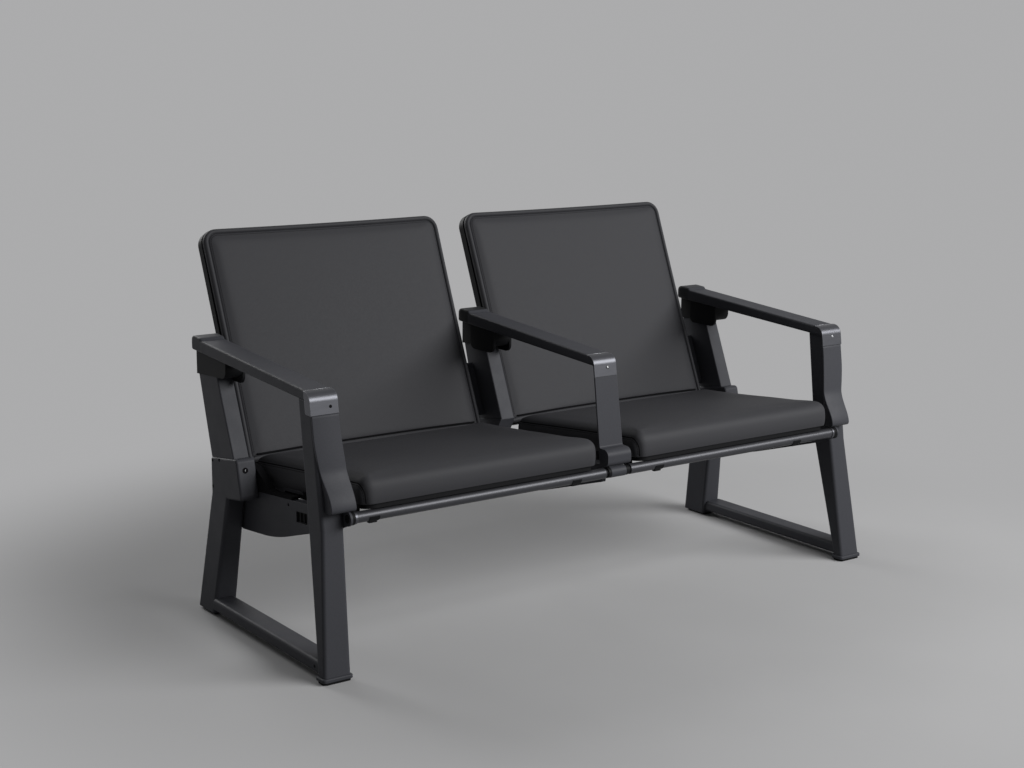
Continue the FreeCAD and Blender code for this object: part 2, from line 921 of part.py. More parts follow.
# Cushions are stacked from rounded outlines, so the sides swell and draw in, and they bow in between corners
def stacked(stations, half_width, length, low_corner, high_corner, place):
    wires = []
    for level, inset in stations:
        half = half_width - inset
        low, high = inset, length - inset
        largest = max(low_corner, high_corner) - inset
        low_radius = min(low_corner, largest)
        high_radius = min(high_corner, largest)
        corners = [
            (-half, low, low_radius),
            (0.0, low + side_bow, bow_radius),
            (half, low, low_radius),
            (half - side_bow, length / 2, bow_radius),
            (half, high, high_radius),
            (0.0, high - side_bow, bow_radius),
            (-half, high, high_radius),
            (-half + side_bow, length / 2, bow_radius),
        ]
        wires.append(rounded_wire(corners, place(level)))
    return Part.makeLoft(wires, True, False)


def seat_cushion():
    half = seat_centre - cushion_gap
    top = cushion_side + cushion_crown
    stations = [
        (0.0, base_tuck),
        (swell_height, 0.0),
        (cushion_side - shoulder_drop, shoulder_tuck),
        (cushion_side - edge_drop, edge_tuck),
        (top, top_tuck),
    ]
    body = stacked(stations, half, cushion_length, cushion_corner, cushion_rear_corner, at_height)
    dome = Part.makeSphere(crown_radius, Vec(0, cushion_length / 2, top - crown_radius))
    return on_seat(body.common(dome))


# Back frame of reference: leaning plane behind the rear edge of the cushion
back_half = seat_centre - back_gap
pad_thickness = pad_base + pad_panel
back_thickness = pad_thickness + shell_thickness


def on_back(shape):
    turned = shape.rotated(Vec(0, 0, 0), Vec(1, 0, 0), -back_lean)
    return turned.translated(Vec(seat_centre, back_y, back_z))


def back_outline(inset):
    # Rounded outline of a back, with smaller corners at its foot
    half = back_half - inset
    low, high = inset, back_length - inset
    foot = [(-half, low, back_foot_corner - inset), (half, low, back_foot_corner - inset)]
    head = [(half, high, back_corner - inset), (-half, high, back_corner - inset)]
    return foot + head


# Back shell: a moulded tray behind the pad, stiffened by crossing ribs
def back_shell():
    corners = back_outline(0.0)
    shell = front_solid(corners, pad_thickness, back_thickness)

    def rear_edge(edge):
        return edge.BoundBox.YMin > back_thickness - tolerance

    shell = soften(shell, shell_edge, rear_edge)
    inner_half = back_half - shell_wall
    span = (shell_wall, back_length - shell_wall)
    floor = back_thickness - shell_wall
    inner = back_outline(shell_wall)
    hollow = front_solid(inner, pad_thickness, floor)
    half_rib = shell_rib / 2
    ribs = []
    for count in range(1, shell_ribs_across):
        x = -back_half + 2 * back_half * count / shell_ribs_across
        ribs.append(front_solid(rectangle(x - half_rib, x + half_rib, *span, 0), pad_thickness, floor))
    for count in range(1, shell_ribs_up):
        z = back_length * count / shell_ribs_up
        rib = rectangle(-inner_half, inner_half, z - half_rib, z + half_rib, 0)
        ribs.append(front_solid(rib, pad_thickness, floor))
    return on_back(shell.cut(hollow.cut(ribs)))


# Back pad: a swelling border, a crowned front panel and a piped edge between them
def back_pad():
    border = [
        (pad_thickness, border_tuck),
        (pad_panel + pad_base / 2, 0.0),
        (pad_panel, border_seam_tuck),
    ]
    body = stacked(border, back_half, back_length, back_foot_corner, back_corner, at_front)
    rise = [
        (pad_panel, pad_panel_inset - panel_swell),
        (pad_panel / 2, pad_panel_inset),
        (0.0, pad_panel_inset + panel_draw),
    ]
    panel = stacked(rise, back_half, back_length, back_foot_corner, back_corner, at_front)
    dome = Part.makeSphere(pad_crown_radius, Vec(0, pad_crown_radius, back_length / 2))
    panel = panel.common(dome)
    inset = piping_radius + piping_margin
    path = rounded_wire(back_outline(inset), at_front(pad_panel))
    start = path.Edges[0].valueAt(path.Edges[0].FirstParameter)
    way = path.Edges[0].tangentAt(path.Edges[0].FirstParameter)
    section = Part.Wire([Part.Circle(start, way, piping_radius).toShape()])
    piping = path.makePipeShell([section], True, False)
    return on_back(body.fuse([panel, piping]))


# Rails that join the sides of a shell to the rear posts
def back_rails():
    low = pad_thickness + back_rail_setback
    span = (back_rail_start, back_rail_start + back_rail_length)
    corners = rectangle(low, low + back_rail_depth, *span, back_rail_corner)
    bar = side_solid(corners, back_half, seat_centre - post_width / 2)
    return [on_back(bar), on_back(mirrored(bar))]


# Pieces by name
def save(name, shapes):
    whole = shapes if isinstance(shapes, list) else [shapes]
    solids = [solid for shape in whole for solid in shape.Solids]
    result = solids[0] if len(solids) == 1 else Part.makeCompound(solids)
    result.exportStep("parts/" + name + ".step")
    box = result.BoundBox
    print(name, len(solids), round(result.Volume), [round(v, 1) for v in (box.XMin, box.YMin, box.ZMin)],
          [round(v, 1) for v in (box.XMax, box.YMax, box.ZMax)], result.isValid())


def save_pair(name, shape):
    shapes = shape if isinstance(shape, list) else [shape]
    save("right_" + name, shapes)
    save("left_" + name, [mirrored(one) for one in shapes])


def save_three(name, shape):
    save("middle_" + name, shape)
    save("right_" + name, moved(shape, arm_pitch))
    save("left_" + name, moved(shape, -arm_pitch))


save_pair("front_leg", front_leg())
save_pair("rear_leg", rear_leg())
save_pair("rail", rail())
save("front_bases", [front_base(), mirrored(front_base())])
save("front_feet", [front_foot(), mirrored(front_foot())])
save("rear_feet", [rear_foot(), mirrored(rear_foot())])
save_three("rear_post", rear_post())
save("middle_knuckle", knuckle(["inner", "outer"]))
save_pair("knuckle", moved(knuckle(["inner"]), arm_pitch))
save_three("arm", arm())
save("middle_cap", cap(False))
save_pair("cap", moved(cap(True), arm_pitch))
save_pair("strap", moved(end_strap(), arm_pitch))
save("middle_strap", middle_strap())
save_pair("side_plate", side_plate())
save_pair("slot_insert", slot_insert())
save_pair("front_tube", front_tube())
save_pair("end_plug", end_plug())
save("tube_collars", collars())
save("tube_coupling", coupling())
save("middle_post", middle_post())
save("middle_clamp", middle_clamp())
save("middle_web", middle_web())
save("rear_beam", rear_beam())
save("pivot_studs", studs())
save_pair("seat_pan", seat_pan())
save_pair("hinge_arms", hinge_arms())
save_pair("bushes", bushes())
save_pair("bumpers", bumpers())
save_pair("seat_cushion", seat_cushion())
save_pair("back_shell", back_shell())
save_pair("back_pad", back_pad())
save_pair("back_rails", back_rails())
print("pivot", seat_centre, pivot_y, pivot_z)
print("tube", tube_y, tube_height, "beam", beam_y, beam_height, "back", back_y, back_z)
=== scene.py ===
import json
import math

import bmesh
import bpy
import numpy as np
from mathutils import Matrix, Vector


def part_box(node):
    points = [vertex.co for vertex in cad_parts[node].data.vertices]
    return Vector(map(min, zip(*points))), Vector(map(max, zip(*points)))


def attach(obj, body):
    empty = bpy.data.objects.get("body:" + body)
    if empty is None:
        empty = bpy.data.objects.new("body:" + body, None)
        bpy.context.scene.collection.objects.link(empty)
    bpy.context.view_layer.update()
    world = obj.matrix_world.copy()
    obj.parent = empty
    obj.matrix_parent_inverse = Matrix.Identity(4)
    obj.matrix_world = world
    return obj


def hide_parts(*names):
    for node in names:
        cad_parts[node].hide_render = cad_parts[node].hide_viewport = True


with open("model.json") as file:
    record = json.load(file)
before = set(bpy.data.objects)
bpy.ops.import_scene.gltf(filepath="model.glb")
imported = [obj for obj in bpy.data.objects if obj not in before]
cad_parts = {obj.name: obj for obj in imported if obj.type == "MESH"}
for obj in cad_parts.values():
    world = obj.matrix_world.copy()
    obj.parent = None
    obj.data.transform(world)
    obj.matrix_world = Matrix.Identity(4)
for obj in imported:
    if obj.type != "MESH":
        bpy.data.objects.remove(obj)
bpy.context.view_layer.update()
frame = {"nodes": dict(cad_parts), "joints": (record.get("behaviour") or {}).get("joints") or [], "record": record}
nodes = frame["nodes"]
scene = bpy.context.scene
SIDES = (("left", -1.0), ("right", 1.0))

# Sizes that the solids have, in metres, with slopes as rise over run and angles in radians
FRONT_FOOT_Y = -0.386
FOOT_HEIGHT = 0.014
LEG_LEAN = 0.1464
CAP_BOTTOM = 0.567
CAP_THICKNESS = 0.004
ARM_RISE = 0.0656
STRAP_WIDTH = 0.066
HOOD_LENGTH = 0.044
SEAT_ANGLE = math.radians(5.5)
CUSHION_HALF_WIDTH = 0.326
CUSHION_LENGTH = 0.490
CUSHION_SIDE = 0.062
CUSHION_FRONT_CORNER = 0.032
CUSHION_REAR_CORNER = 0.010
PIVOT_SETBACK = 0.076
PIVOT_DROP = 0.036
BACK_ANGLE = math.radians(22.6)
BACK_BEHIND_SEAT = 0.0093
BACK_BELOW_SEAT = 0.0217
BACK_HALF_WIDTH = 0.334
BACK_LENGTH = 0.575
BACK_HEAD_CORNER = 0.036
BACK_FOOT_CORNER = 0.016
PAD_DEPTH = 0.021
HEAD_BEHIND_BACK = 0.0675
HEAD_ABOVE_BACK = 0.0107
HEAD_DEPTH = 0.131
HEAD_HEIGHT = 0.078
HEAD_NOSE_RAKE = 0.023
HEAD_TILT = 0.146

# Directions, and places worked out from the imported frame
ACROSS = Vector((1.0, 0.0, 0.0))
BACKWARD = Vector((0.0, 1.0, 0.0))
UPWARD = Vector((0.0, 0.0, 1.0))
pivot = next(Vector(joint["pos_m"]) for joint in frame["joints"] if joint["name"] == "right_seat_tip")
SEAT_CENTRE = pivot.x
ARM_PITCH = 2 * SEAT_CENTRE
seat_turn = Matrix.Rotation(-SEAT_ANGLE, 3, "X")
back_turn = Matrix.Rotation(-BACK_ANGLE, 3, "X")
pivot_on_seat = Vector((0.0, CUSHION_LENGTH - PIVOT_SETBACK, -PIVOT_DROP))
seat_origin = Vector((0.0, pivot.y, pivot.z)) - seat_turn @ pivot_on_seat
seat_rear_edge = seat_origin + seat_turn @ Vector((0.0, CUSHION_LENGTH, CUSHION_SIDE))
back_origin = seat_rear_edge + Vector((0.0, BACK_BEHIND_SEAT, -BACK_BELOW_SEAT))
tube_low, tube_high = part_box("right_front_tube")
TUBE_Y = (tube_low.y + tube_high.y) / 2
TUBE_Z = (tube_low.z + tube_high.z) / 2
TUBE_RADIUS = (tube_high.z - tube_low.z) / 2
HOOD_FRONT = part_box("middle_arm")[1].y - HOOD_LENGTH

# Colours as linear red, green and blue; a texture mixes a pair from its first to its second
COAT = ((0.055, 0.0565, 0.065), (0.061, 0.0625, 0.072))
# Lighter coat colour for edges: partly wear, partly painted highlight along the edges
COAT_WEAR_AND_EDGE_HIGHLIGHT = (0.155, 0.157, 0.172)
# Darker tones painted on the arms' hoods, the middle arm's hood darkest
END_HOOD = (0.042, 0.043, 0.049)
MIDDLE_HOOD = (0.015, 0.0152, 0.017)
TUBE = ((0.052, 0.053, 0.060), (0.066, 0.067, 0.075))
TUBE_WORN = (0.16, 0.162, 0.175)
CAP_METAL = ((0.095, 0.097, 0.108), (0.115, 0.117, 0.130))
# Polished metal for the screws, and for the bright strips painted as highlights
SCREW_AND_HIGHLIGHT_METAL = ((0.42, 0.425, 0.44), (0.50, 0.505, 0.52))
METAL_WORN = (0.36, 0.365, 0.39)
PLASTIC = ((0.009, 0.0092, 0.0100), (0.012, 0.0122, 0.0135))
PLASTIC_WORN = (0.045, 0.046, 0.050)
RUBBER = ((0.011, 0.011, 0.012), (0.020, 0.020, 0.021))
RUBBER_WORN = (0.05, 0.05, 0.05)
LEATHER = ((0.0520, 0.0524, 0.0575), (0.0560, 0.0564, 0.0620))
LEATHER_GRAIN = (0.045, 0.0453, 0.050)
# Near-black thread colour, also used for the dark discs, wells and covers that are painted shade
THREAD_AND_SHADE = ((0.005, 0.005, 0.006), (0.012, 0.012, 0.013))
FLOOR = ((0.55, 0.55, 0.555), (0.59, 0.59, 0.595))
FLOOR_BOUNCE = (0.20, 0.20, 0.202)
PALE = (0.41, 0.41, 0.415)
WHITE = (1.0, 1.0, 1.0)

# Radii of the edges that the materials round, in metres
COAT_EDGE = 0.0016
ARM_EDGE = 0.0085
TUBE_EDGE = 0.001
METAL_EDGE = 0.0012
PLASTIC_EDGE = 0.0014
RUBBER_EDGE = 0.001

# Settings that the materials share
EDGE_SAMPLES = 8
EDGE_BEND = (0.80, 0.99)
HOOD_BLEND = 0.0004
NOISE_RANGE = (0.3, 0.7)
SHARP_RANGE = (0.35, 0.65)

# Sockets of the mix node that take and give colours
MIX_COLOURS = (6, 7)
MIX_RESULT = 2


class Paint:
    """A node material with one Principled shader and short ways to add texture nodes to it."""

    def __init__(self, name):
        self.material = bpy.data.materials.new(name)
        self.material.use_nodes = True
        self.tree = self.material.node_tree
        self.shader = self.tree.nodes["Principled BSDF"]
        self.place = self.add("ShaderNodeTexCoord").outputs["Object"]

    def add(self, kind, **settings):
        node = self.tree.nodes.new(kind)
        for key, value in settings.items():
            setattr(node, key, value)
        return node

    def link(self, output, socket):
        self.tree.links.new(output, socket)

    def stretched(self, scale):
        mapping = self.add("ShaderNodeMapping")
        mapping.inputs["Scale"].default_value = scale
        self.link(self.place, mapping.inputs["Vector"])
        return mapping.outputs["Vector"]

    def noise(self, scale, detail=3.0, place=None):
        node = self.add("ShaderNodeTexNoise")
        node.inputs["Scale"].default_value = scale
        node.inputs["Detail"].default_value = detail
        self.link(place or self.place, node.inputs["Vector"])
        return node.outputs["Fac"]

    def cells(self, scale):
        node = self.add("ShaderNodeTexVoronoi", feature="DISTANCE_TO_EDGE")
        node.inputs["Scale"].default_value = scale
        self.link(self.place, node.inputs["Vector"])
        return node.outputs["Distance"]

    def ranged(self, value, low, high, to_low, to_high):
        """A value that runs from low to high, stretched to run from to_low to to_high."""
        node = self.add("ShaderNodeMapRange")
        ends = {"From Min": low, "From Max": high, "To Min": to_low, "To Max": to_high}
        for name, number in ends.items():
            node.inputs[name].default_value = number
        self.link(value, node.inputs["Value"])
        return node.outputs["Result"]

    def spread(self, noise, low, high, part=NOISE_RANGE):
        """The middle part of a noise, stretched to run from low to high."""
        return self.ranged(noise, *part, low, high)

    def along(self, axis):
        node = self.add("ShaderNodeSeparateXYZ")
        self.link(self.place, node.inputs["Vector"])
        return node.outputs[axis]

    def combined(self, operation, first, second):
        node = self.add("ShaderNodeMath", operation=operation)
        self.link(first, node.inputs[0])
        self.link(second, node.inputs[1])
        return node.outputs["Value"]

    def tint(self, share, colour, other):
        """A mix of two colours, each a fixed one or another node's output."""
        node = self.add("ShaderNodeMix", data_type="RGBA")
        self.link(share, node.inputs["Factor"])
        for socket, value in zip(MIX_COLOURS, (colour, other)):
            if isinstance(value, tuple):
                node.inputs[socket].default_value = (*value, 1.0)
            else:
                self.link(value, node.inputs[socket])
        return node.outputs[MIX_RESULT]

    def bump(self, height, strength, distance, normal=None):
        node = self.add("ShaderNodeBump")
        node.inputs["Strength"].default_value = strength
        node.inputs["Distance"].default_value = distance
        self.link(height, node.inputs["Height"])
        if normal is not None:
            self.link(normal, node.inputs["Normal"])
        return node.outputs["Normal"]

    def rounded_edges(self, radius):
        """Normal rounded over sharp edges, and a mask that is 1 along them."""
        bevel = self.add("ShaderNodeBevel", samples=EDGE_SAMPLES)
        bevel.inputs["Radius"].default_value = radius
        plain = self.add("ShaderNodeNewGeometry").outputs["Normal"]
        dot = self.add("ShaderNodeVectorMath", operation="DOT_PRODUCT")
        self.link(bevel.outputs["Normal"], dot.inputs[0])
        self.link(plain, dot.inputs[1])
        return bevel.outputs["Normal"], self.ranged(dot.outputs["Value"], *EDGE_BEND, 1.0, 0.0)

    def surface(self, colour, roughness, normal, **fixed):
        self.link(colour, self.shader.inputs["Base Color"])
        self.link(roughness, self.shader.inputs["Roughness"])
        self.link(normal, self.shader.inputs["Normal"])
        for name, value in fixed.items():
            self.shader.inputs[name.replace("_", " ")].default_value = value
        return self.material


def painted_metal(name, hood=None):
    """Satin powder coat; an arm's hood, behind HOOD_FRONT, may be painted in a darker tone."""
    paint = Paint(name)
    edge_normal, edge = paint.rounded_edges(COAT_EDGE)
    if hood is not None:
        edge_normal = paint.rounded_edges(ARM_EDGE)[0]
    speckle = paint.noise(scale=320.0, detail=3.0)
    coat = paint.tint(paint.spread(speckle, 0.0, 1.0, SHARP_RANGE), *COAT)
    if hood is not None:
        behind = paint.ranged(paint.along("Y"), HOOD_FRONT, HOOD_FRONT + HOOD_BLEND, 0.0, 1.0)
        coat = paint.tint(behind, coat, hood)
    patches = paint.spread(paint.noise(scale=45.0, detail=5.0), 0.30, 0.70, SHARP_RANGE)
    # Edges painted lighter in patches: partly wear, partly painted highlight where light catches the rounded edges
    colour = paint.tint(paint.combined("MULTIPLY", edge, patches), coat, COAT_WEAR_AND_EDGE_HIGHLIGHT)
    roughness = paint.spread(paint.noise(scale=28.0, detail=4.0), 0.47, 0.54)
    pores = paint.noise(scale=900.0, detail=2.0)
    normal = paint.bump(pores, strength=0.10, distance=0.0003, normal=edge_normal)
    return paint.surface(colour, roughness, normal, Specular_IOR_Level=0.18)


def satin_tube():
    paint = Paint("satin_dark_tube")
    edge_normal, edge = paint.rounded_edges(TUBE_EDGE)
    grain = paint.noise(scale=1.0, detail=4.0, place=paint.stretched((700.0, 60.0, 60.0)))
    colour = paint.tint(edge, paint.tint(grain, *TUBE), TUBE_WORN)
    roughness = paint.spread(grain, 0.34, 0.42)
    normal = paint.bump(grain, strength=0.05, distance=0.0002, normal=edge_normal)
    return paint.surface(colour, roughness, normal, Metallic=0.45)


def bright_metal(name, colours):
    """Metal brushed along X, a little brighter on its edges."""
    paint = Paint(name)
    edge_normal, edge = paint.rounded_edges(METAL_EDGE)
    grain = paint.noise(scale=1.0, detail=3.0, place=paint.stretched((30.0, 800.0, 800.0)))
    worn = paint.ranged(edge, 0.0, 1.0, 0.0, 0.7)
    colour = paint.tint(worn, paint.tint(grain, *colours), METAL_WORN)
    roughness = paint.spread(grain, 0.33, 0.38)
    normal = paint.bump(grain, strength=0.03, distance=0.0002, normal=edge_normal)
    return paint.surface(colour, roughness, normal, Metallic=0.8)


def moulded_plastic():
    paint = Paint("moulded_black_plastic")
    edge_normal, edge = paint.rounded_edges(PLASTIC_EDGE)
    speckle = paint.noise(scale=700.0, detail=3.0)
    base = paint.tint(paint.noise(scale=12.0, detail=3.0), *PLASTIC)
    colour = paint.tint(paint.combined("MULTIPLY", edge, speckle), base, PLASTIC_WORN)
    roughness = paint.spread(speckle, 0.46, 0.58)
    normal = paint.bump(speckle, strength=0.15, distance=0.0003, normal=edge_normal)
    return paint.surface(colour, roughness, normal, Specular_IOR_Level=0.09)


def soft_rubber():
    paint = Paint("black_rubber")
    edge_normal, edge = paint.rounded_edges(RUBBER_EDGE)
    dust = paint.noise(scale=90.0, detail=6.0)
    colour = paint.tint(paint.combined("MULTIPLY", edge, dust), paint.tint(dust, *RUBBER), RUBBER_WORN)
    roughness = paint.spread(dust, 0.68, 0.85)
    grit = paint.noise(scale=500.0, detail=3.0)
    normal = paint.bump(grit, strength=0.25, distance=0.0004, normal=edge_normal)
    return paint.surface(colour, roughness, normal, Specular_IOR_Level=0.10)


def coated_cover():
    paint = Paint("matte_coated_cover")
    grain = paint.cells(620.0)
    fine = paint.noise(scale=240.0, detail=4.0)
    coat = paint.tint(paint.spread(fine, 0.0, 1.0), *LEATHER)
    colour = paint.tint(paint.ranged(grain, 0.0, 0.10, 1.0, 0.0), coat, LEATHER_GRAIN)
    roughness = paint.spread(fine, 0.56, 0.64)
    normal = paint.bump(paint.ranged(grain, 0.0, 0.25, 0.0, 1.0), strength=0.12, distance=0.0003)
    return paint.surface(colour, roughness, normal, Specular_IOR_Level=0.20)


def dark_thread_and_shade():
    paint = Paint("dark_thread_and_painted_shade")
    twist = paint.noise(scale=700.0, detail=2.0)
    colour = paint.tint(twist, *THREAD_AND_SHADE)
    roughness = paint.spread(twist, 0.65, 0.8)
    normal = paint.bump(twist, strength=0.4, distance=0.0004)
    return paint.surface(colour, roughness, normal, Specular_IOR_Level=0.04)


MATERIALS = {
    "frame_paint": painted_metal("satin_powder_coat"),
    "bright_metal": bright_metal("brushed_satin_metal", CAP_METAL),
    "black_plastic": moulded_plastic(),
    "rubber": soft_rubber(),
    "upholstery": coated_cover(),
}
TUBE_FINISH = satin_tube()
END_ARM_FINISH = painted_metal("satin_powder_coat_end_arm", END_HOOD)
MIDDLE_ARM_FINISH = painted_metal("satin_powder_coat_middle_arm", MIDDLE_HOOD)
SPECIAL_FINISH = {
    "left_front_tube": TUBE_FINISH,
    "right_front_tube": TUBE_FINISH,
    "left_arm": END_ARM_FINISH,
    "right_arm": END_ARM_FINISH,
    "middle_arm": MIDDLE_ARM_FINISH,
}
# The thread finish also paints shade: the dark discs in holes and wells and the flange covers
THREAD_AND_SHADE_FINISH = dark_thread_and_shade()
POLISHED_AND_HIGHLIGHT = bright_metal("polished_screws_and_highlight_lines", SCREW_AND_HIGHLIGHT_METAL)
for subpart in frame["record"]["subparts"]:
    mesh = nodes[subpart["node"]].data
    mesh.materials.clear()
    mesh.materials.append(SPECIAL_FINISH.get(subpart["node"], MATERIALS[subpart["material_slot"]]))


# Making pieces
BAR_CORNERS = 8
STITCH_SIDES = 5


def piece(name, verts, faces, body, slot, material=None, smooth=True, place=None):
    """A mesh that rides on a body; place moves its points there first."""
    mesh = bpy.data.meshes.new(name)
    mesh.from_pydata([tuple(v) for v in verts], [], [tuple(f) for f in faces])
    mesh.validate()
    form = bmesh.new()
    form.from_mesh(mesh)
    bmesh.ops.recalc_face_normals(form, faces=form.faces)
    form.to_mesh(mesh)
    form.free()
    mesh.polygons.foreach_set("use_smooth", [smooth] * len(mesh.polygons))
    mesh.materials.append(material or MATERIALS[slot])
    obj = bpy.data.objects.new(name, mesh)
    scene.collection.objects.link(obj)
    if place is not None:
        mesh.transform(place)
    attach(obj, body)
    return obj


class Parts:
    """Collects small solids, each given by points and faces, into one mesh."""

    def __init__(self):
        self.verts = []
        self.faces = []

    def take(self, verts, faces):
        start = len(self.verts)
        self.verts.extend(verts)
        self.faces.extend([[start + i for i in face] for face in faces])

    def rings(self, verts, around):
        """Joins rings of points, one after another, and closes both ends."""
        count = len(verts) // around
        faces = []
        for ring in range(count - 1):
            low, high = ring * around, (ring + 1) * around
            for step in range(around):
                after = (step + 1) % around
                faces.append([low + step, low + after, high + after, high + step])
        faces.append(list(range(around))[::-1])
        faces.append([(count - 1) * around + step for step in range(around)])
        self.take(verts, faces)

    def turned(self, profile, centre, axis, around=20):
        """A turned solid: profile points are (radius, height along the axis), from base to tip."""
        across = axis.orthogonal().normalized()
        beside = axis.cross(across)
        verts = []
        for radius, height in profile:
            for step in range(around):
                angle = 2 * math.pi * step / around
                spoke = across * math.cos(angle) + beside * math.sin(angle)
                verts.append(centre + axis * height + spoke * radius)
        self.rings(verts, around)

    def bar(self, centre, along, across, sizes, edge):
        """A bar with bevelled edges: sizes run along, across and out of the plane of the two directions."""
        out = along.cross(across).normalized()
        halves = [size / 2 for size in sizes]
        verts = []
        layers = ((-halves[2], edge), (-halves[2] + edge, 0.0), (halves[2] - edge, 0.0), (halves[2], edge))
        for height, inset in layers:
            a, b = halves[0] - inset, halves[1] - inset
            outline = ((-a + edge, -b), (a - edge, -b), (a, -b + edge), (a, b - edge),
                       (a - edge, b), (-a + edge, b), (-a, b - edge), (-a, -b + edge))
            for u, v in outline:
                verts.append(centre + along * u + across * v + out * height)
        self.rings(verts, BAR_CORNERS)

    def tube(self, path, radius, around=8):
        """A round cord through the points of a path."""
        ways = []
        for index in range(len(path)):
            before = path[max(index - 1, 0)]
            after = path[min(index + 1, len(path) - 1)]
            ways.append((after - before).normalized())
        side = ways[0].orthogonal().normalized()
        verts = []
        for point, way in zip(path, ways):
            side = (side - way * side.dot(way)).normalized()
            beside = way.cross(side)
            for step in range(around):
                angle = 2 * math.pi * step / around
                verts.append(point + (side * math.cos(angle) + beside * math.sin(angle)) * radius)
        self.rings(verts, around)

    def stitches(self, path, length, gap, radius):
        """Short lengths of thread, one after another along a path."""
        run = 0.0
        start = None
        for first, last in zip(path[:-1], path[1:]):
            stretch = (last - first).length
            while run < stretch:
                point = first.lerp(last, run / stretch)
                if start is None:
                    start = point
                    run += length
                else:
                    self.tube([start, start.lerp(point, 0.5), point], radius, STITCH_SIDES)
                    start = None
                    run += gap
            run -= stretch

    def piece(self, name, body, slot, material=None, smooth=True):
        return piece(name, self.verts, self.faces, body, slot, material, smooth)


# Cushions: a crowned grid on top, rings down the sides and a flat grid below
ACROSS_STEPS = 40
ALONG_STEPS = 30
CORNER_STEPS = 4
LEAST_CORNER = 0.004
INNER_CORNER_START = 0.006
UNDERSIDE = [(0.060, 0.0), (0.020, 0.0)]
UNDERSIDE_HEIGHT = 0.0004
CLOTH_FRAMES = 20
CLOTH_QUALITY = 6
CLOTH_STIFFNESS = 25.0
EVENING_ROUNDS = 24
PRESS_REACH = 3
SMOOTH_LEVELS = 1
STITCH_LENGTH = 0.0042
STITCH_GAP = 0.0016
TINY = 1e-9


def outline_points(half_x, half_y, low_corner, high_corner):
    """Points round a rounded rectangle, from the middle of its low left corner along the low side."""
    corners = (
        (half_x, -half_y, low_corner, -90.0, ACROSS_STEPS),
        (half_x, half_y, high_corner, 0.0, ALONG_STEPS),
        (-half_x, half_y, high_corner, 90.0, ACROSS_STEPS),
        (-half_x, -half_y, low_corner, 180.0, ALONG_STEPS),
    )
    points = []
    for x, y, radius, start, straight in corners:
        centre = (x - math.copysign(radius, x), y - math.copysign(radius, y))
        arc = []
        for step in range(2 * CORNER_STEPS + 1):
            angle = math.radians(start + 45.0 * step / CORNER_STEPS)
            arc.append((centre[0] + radius * math.cos(angle), centre[1] + radius * math.sin(angle)))
        points.append((arc, straight))
    ring = []
    for index, (arc, straight) in enumerate(points):
        before = points[index - 1][0]
        ring.extend(before[CORNER_STEPS:-1])
        for step in range(straight):
            share = step / straight
            ring.append(tuple(a * (1 - share) + b * share for a, b in zip(before[-1], arc[0])))
        ring.extend(arc[:CORNER_STEPS])
    return ring


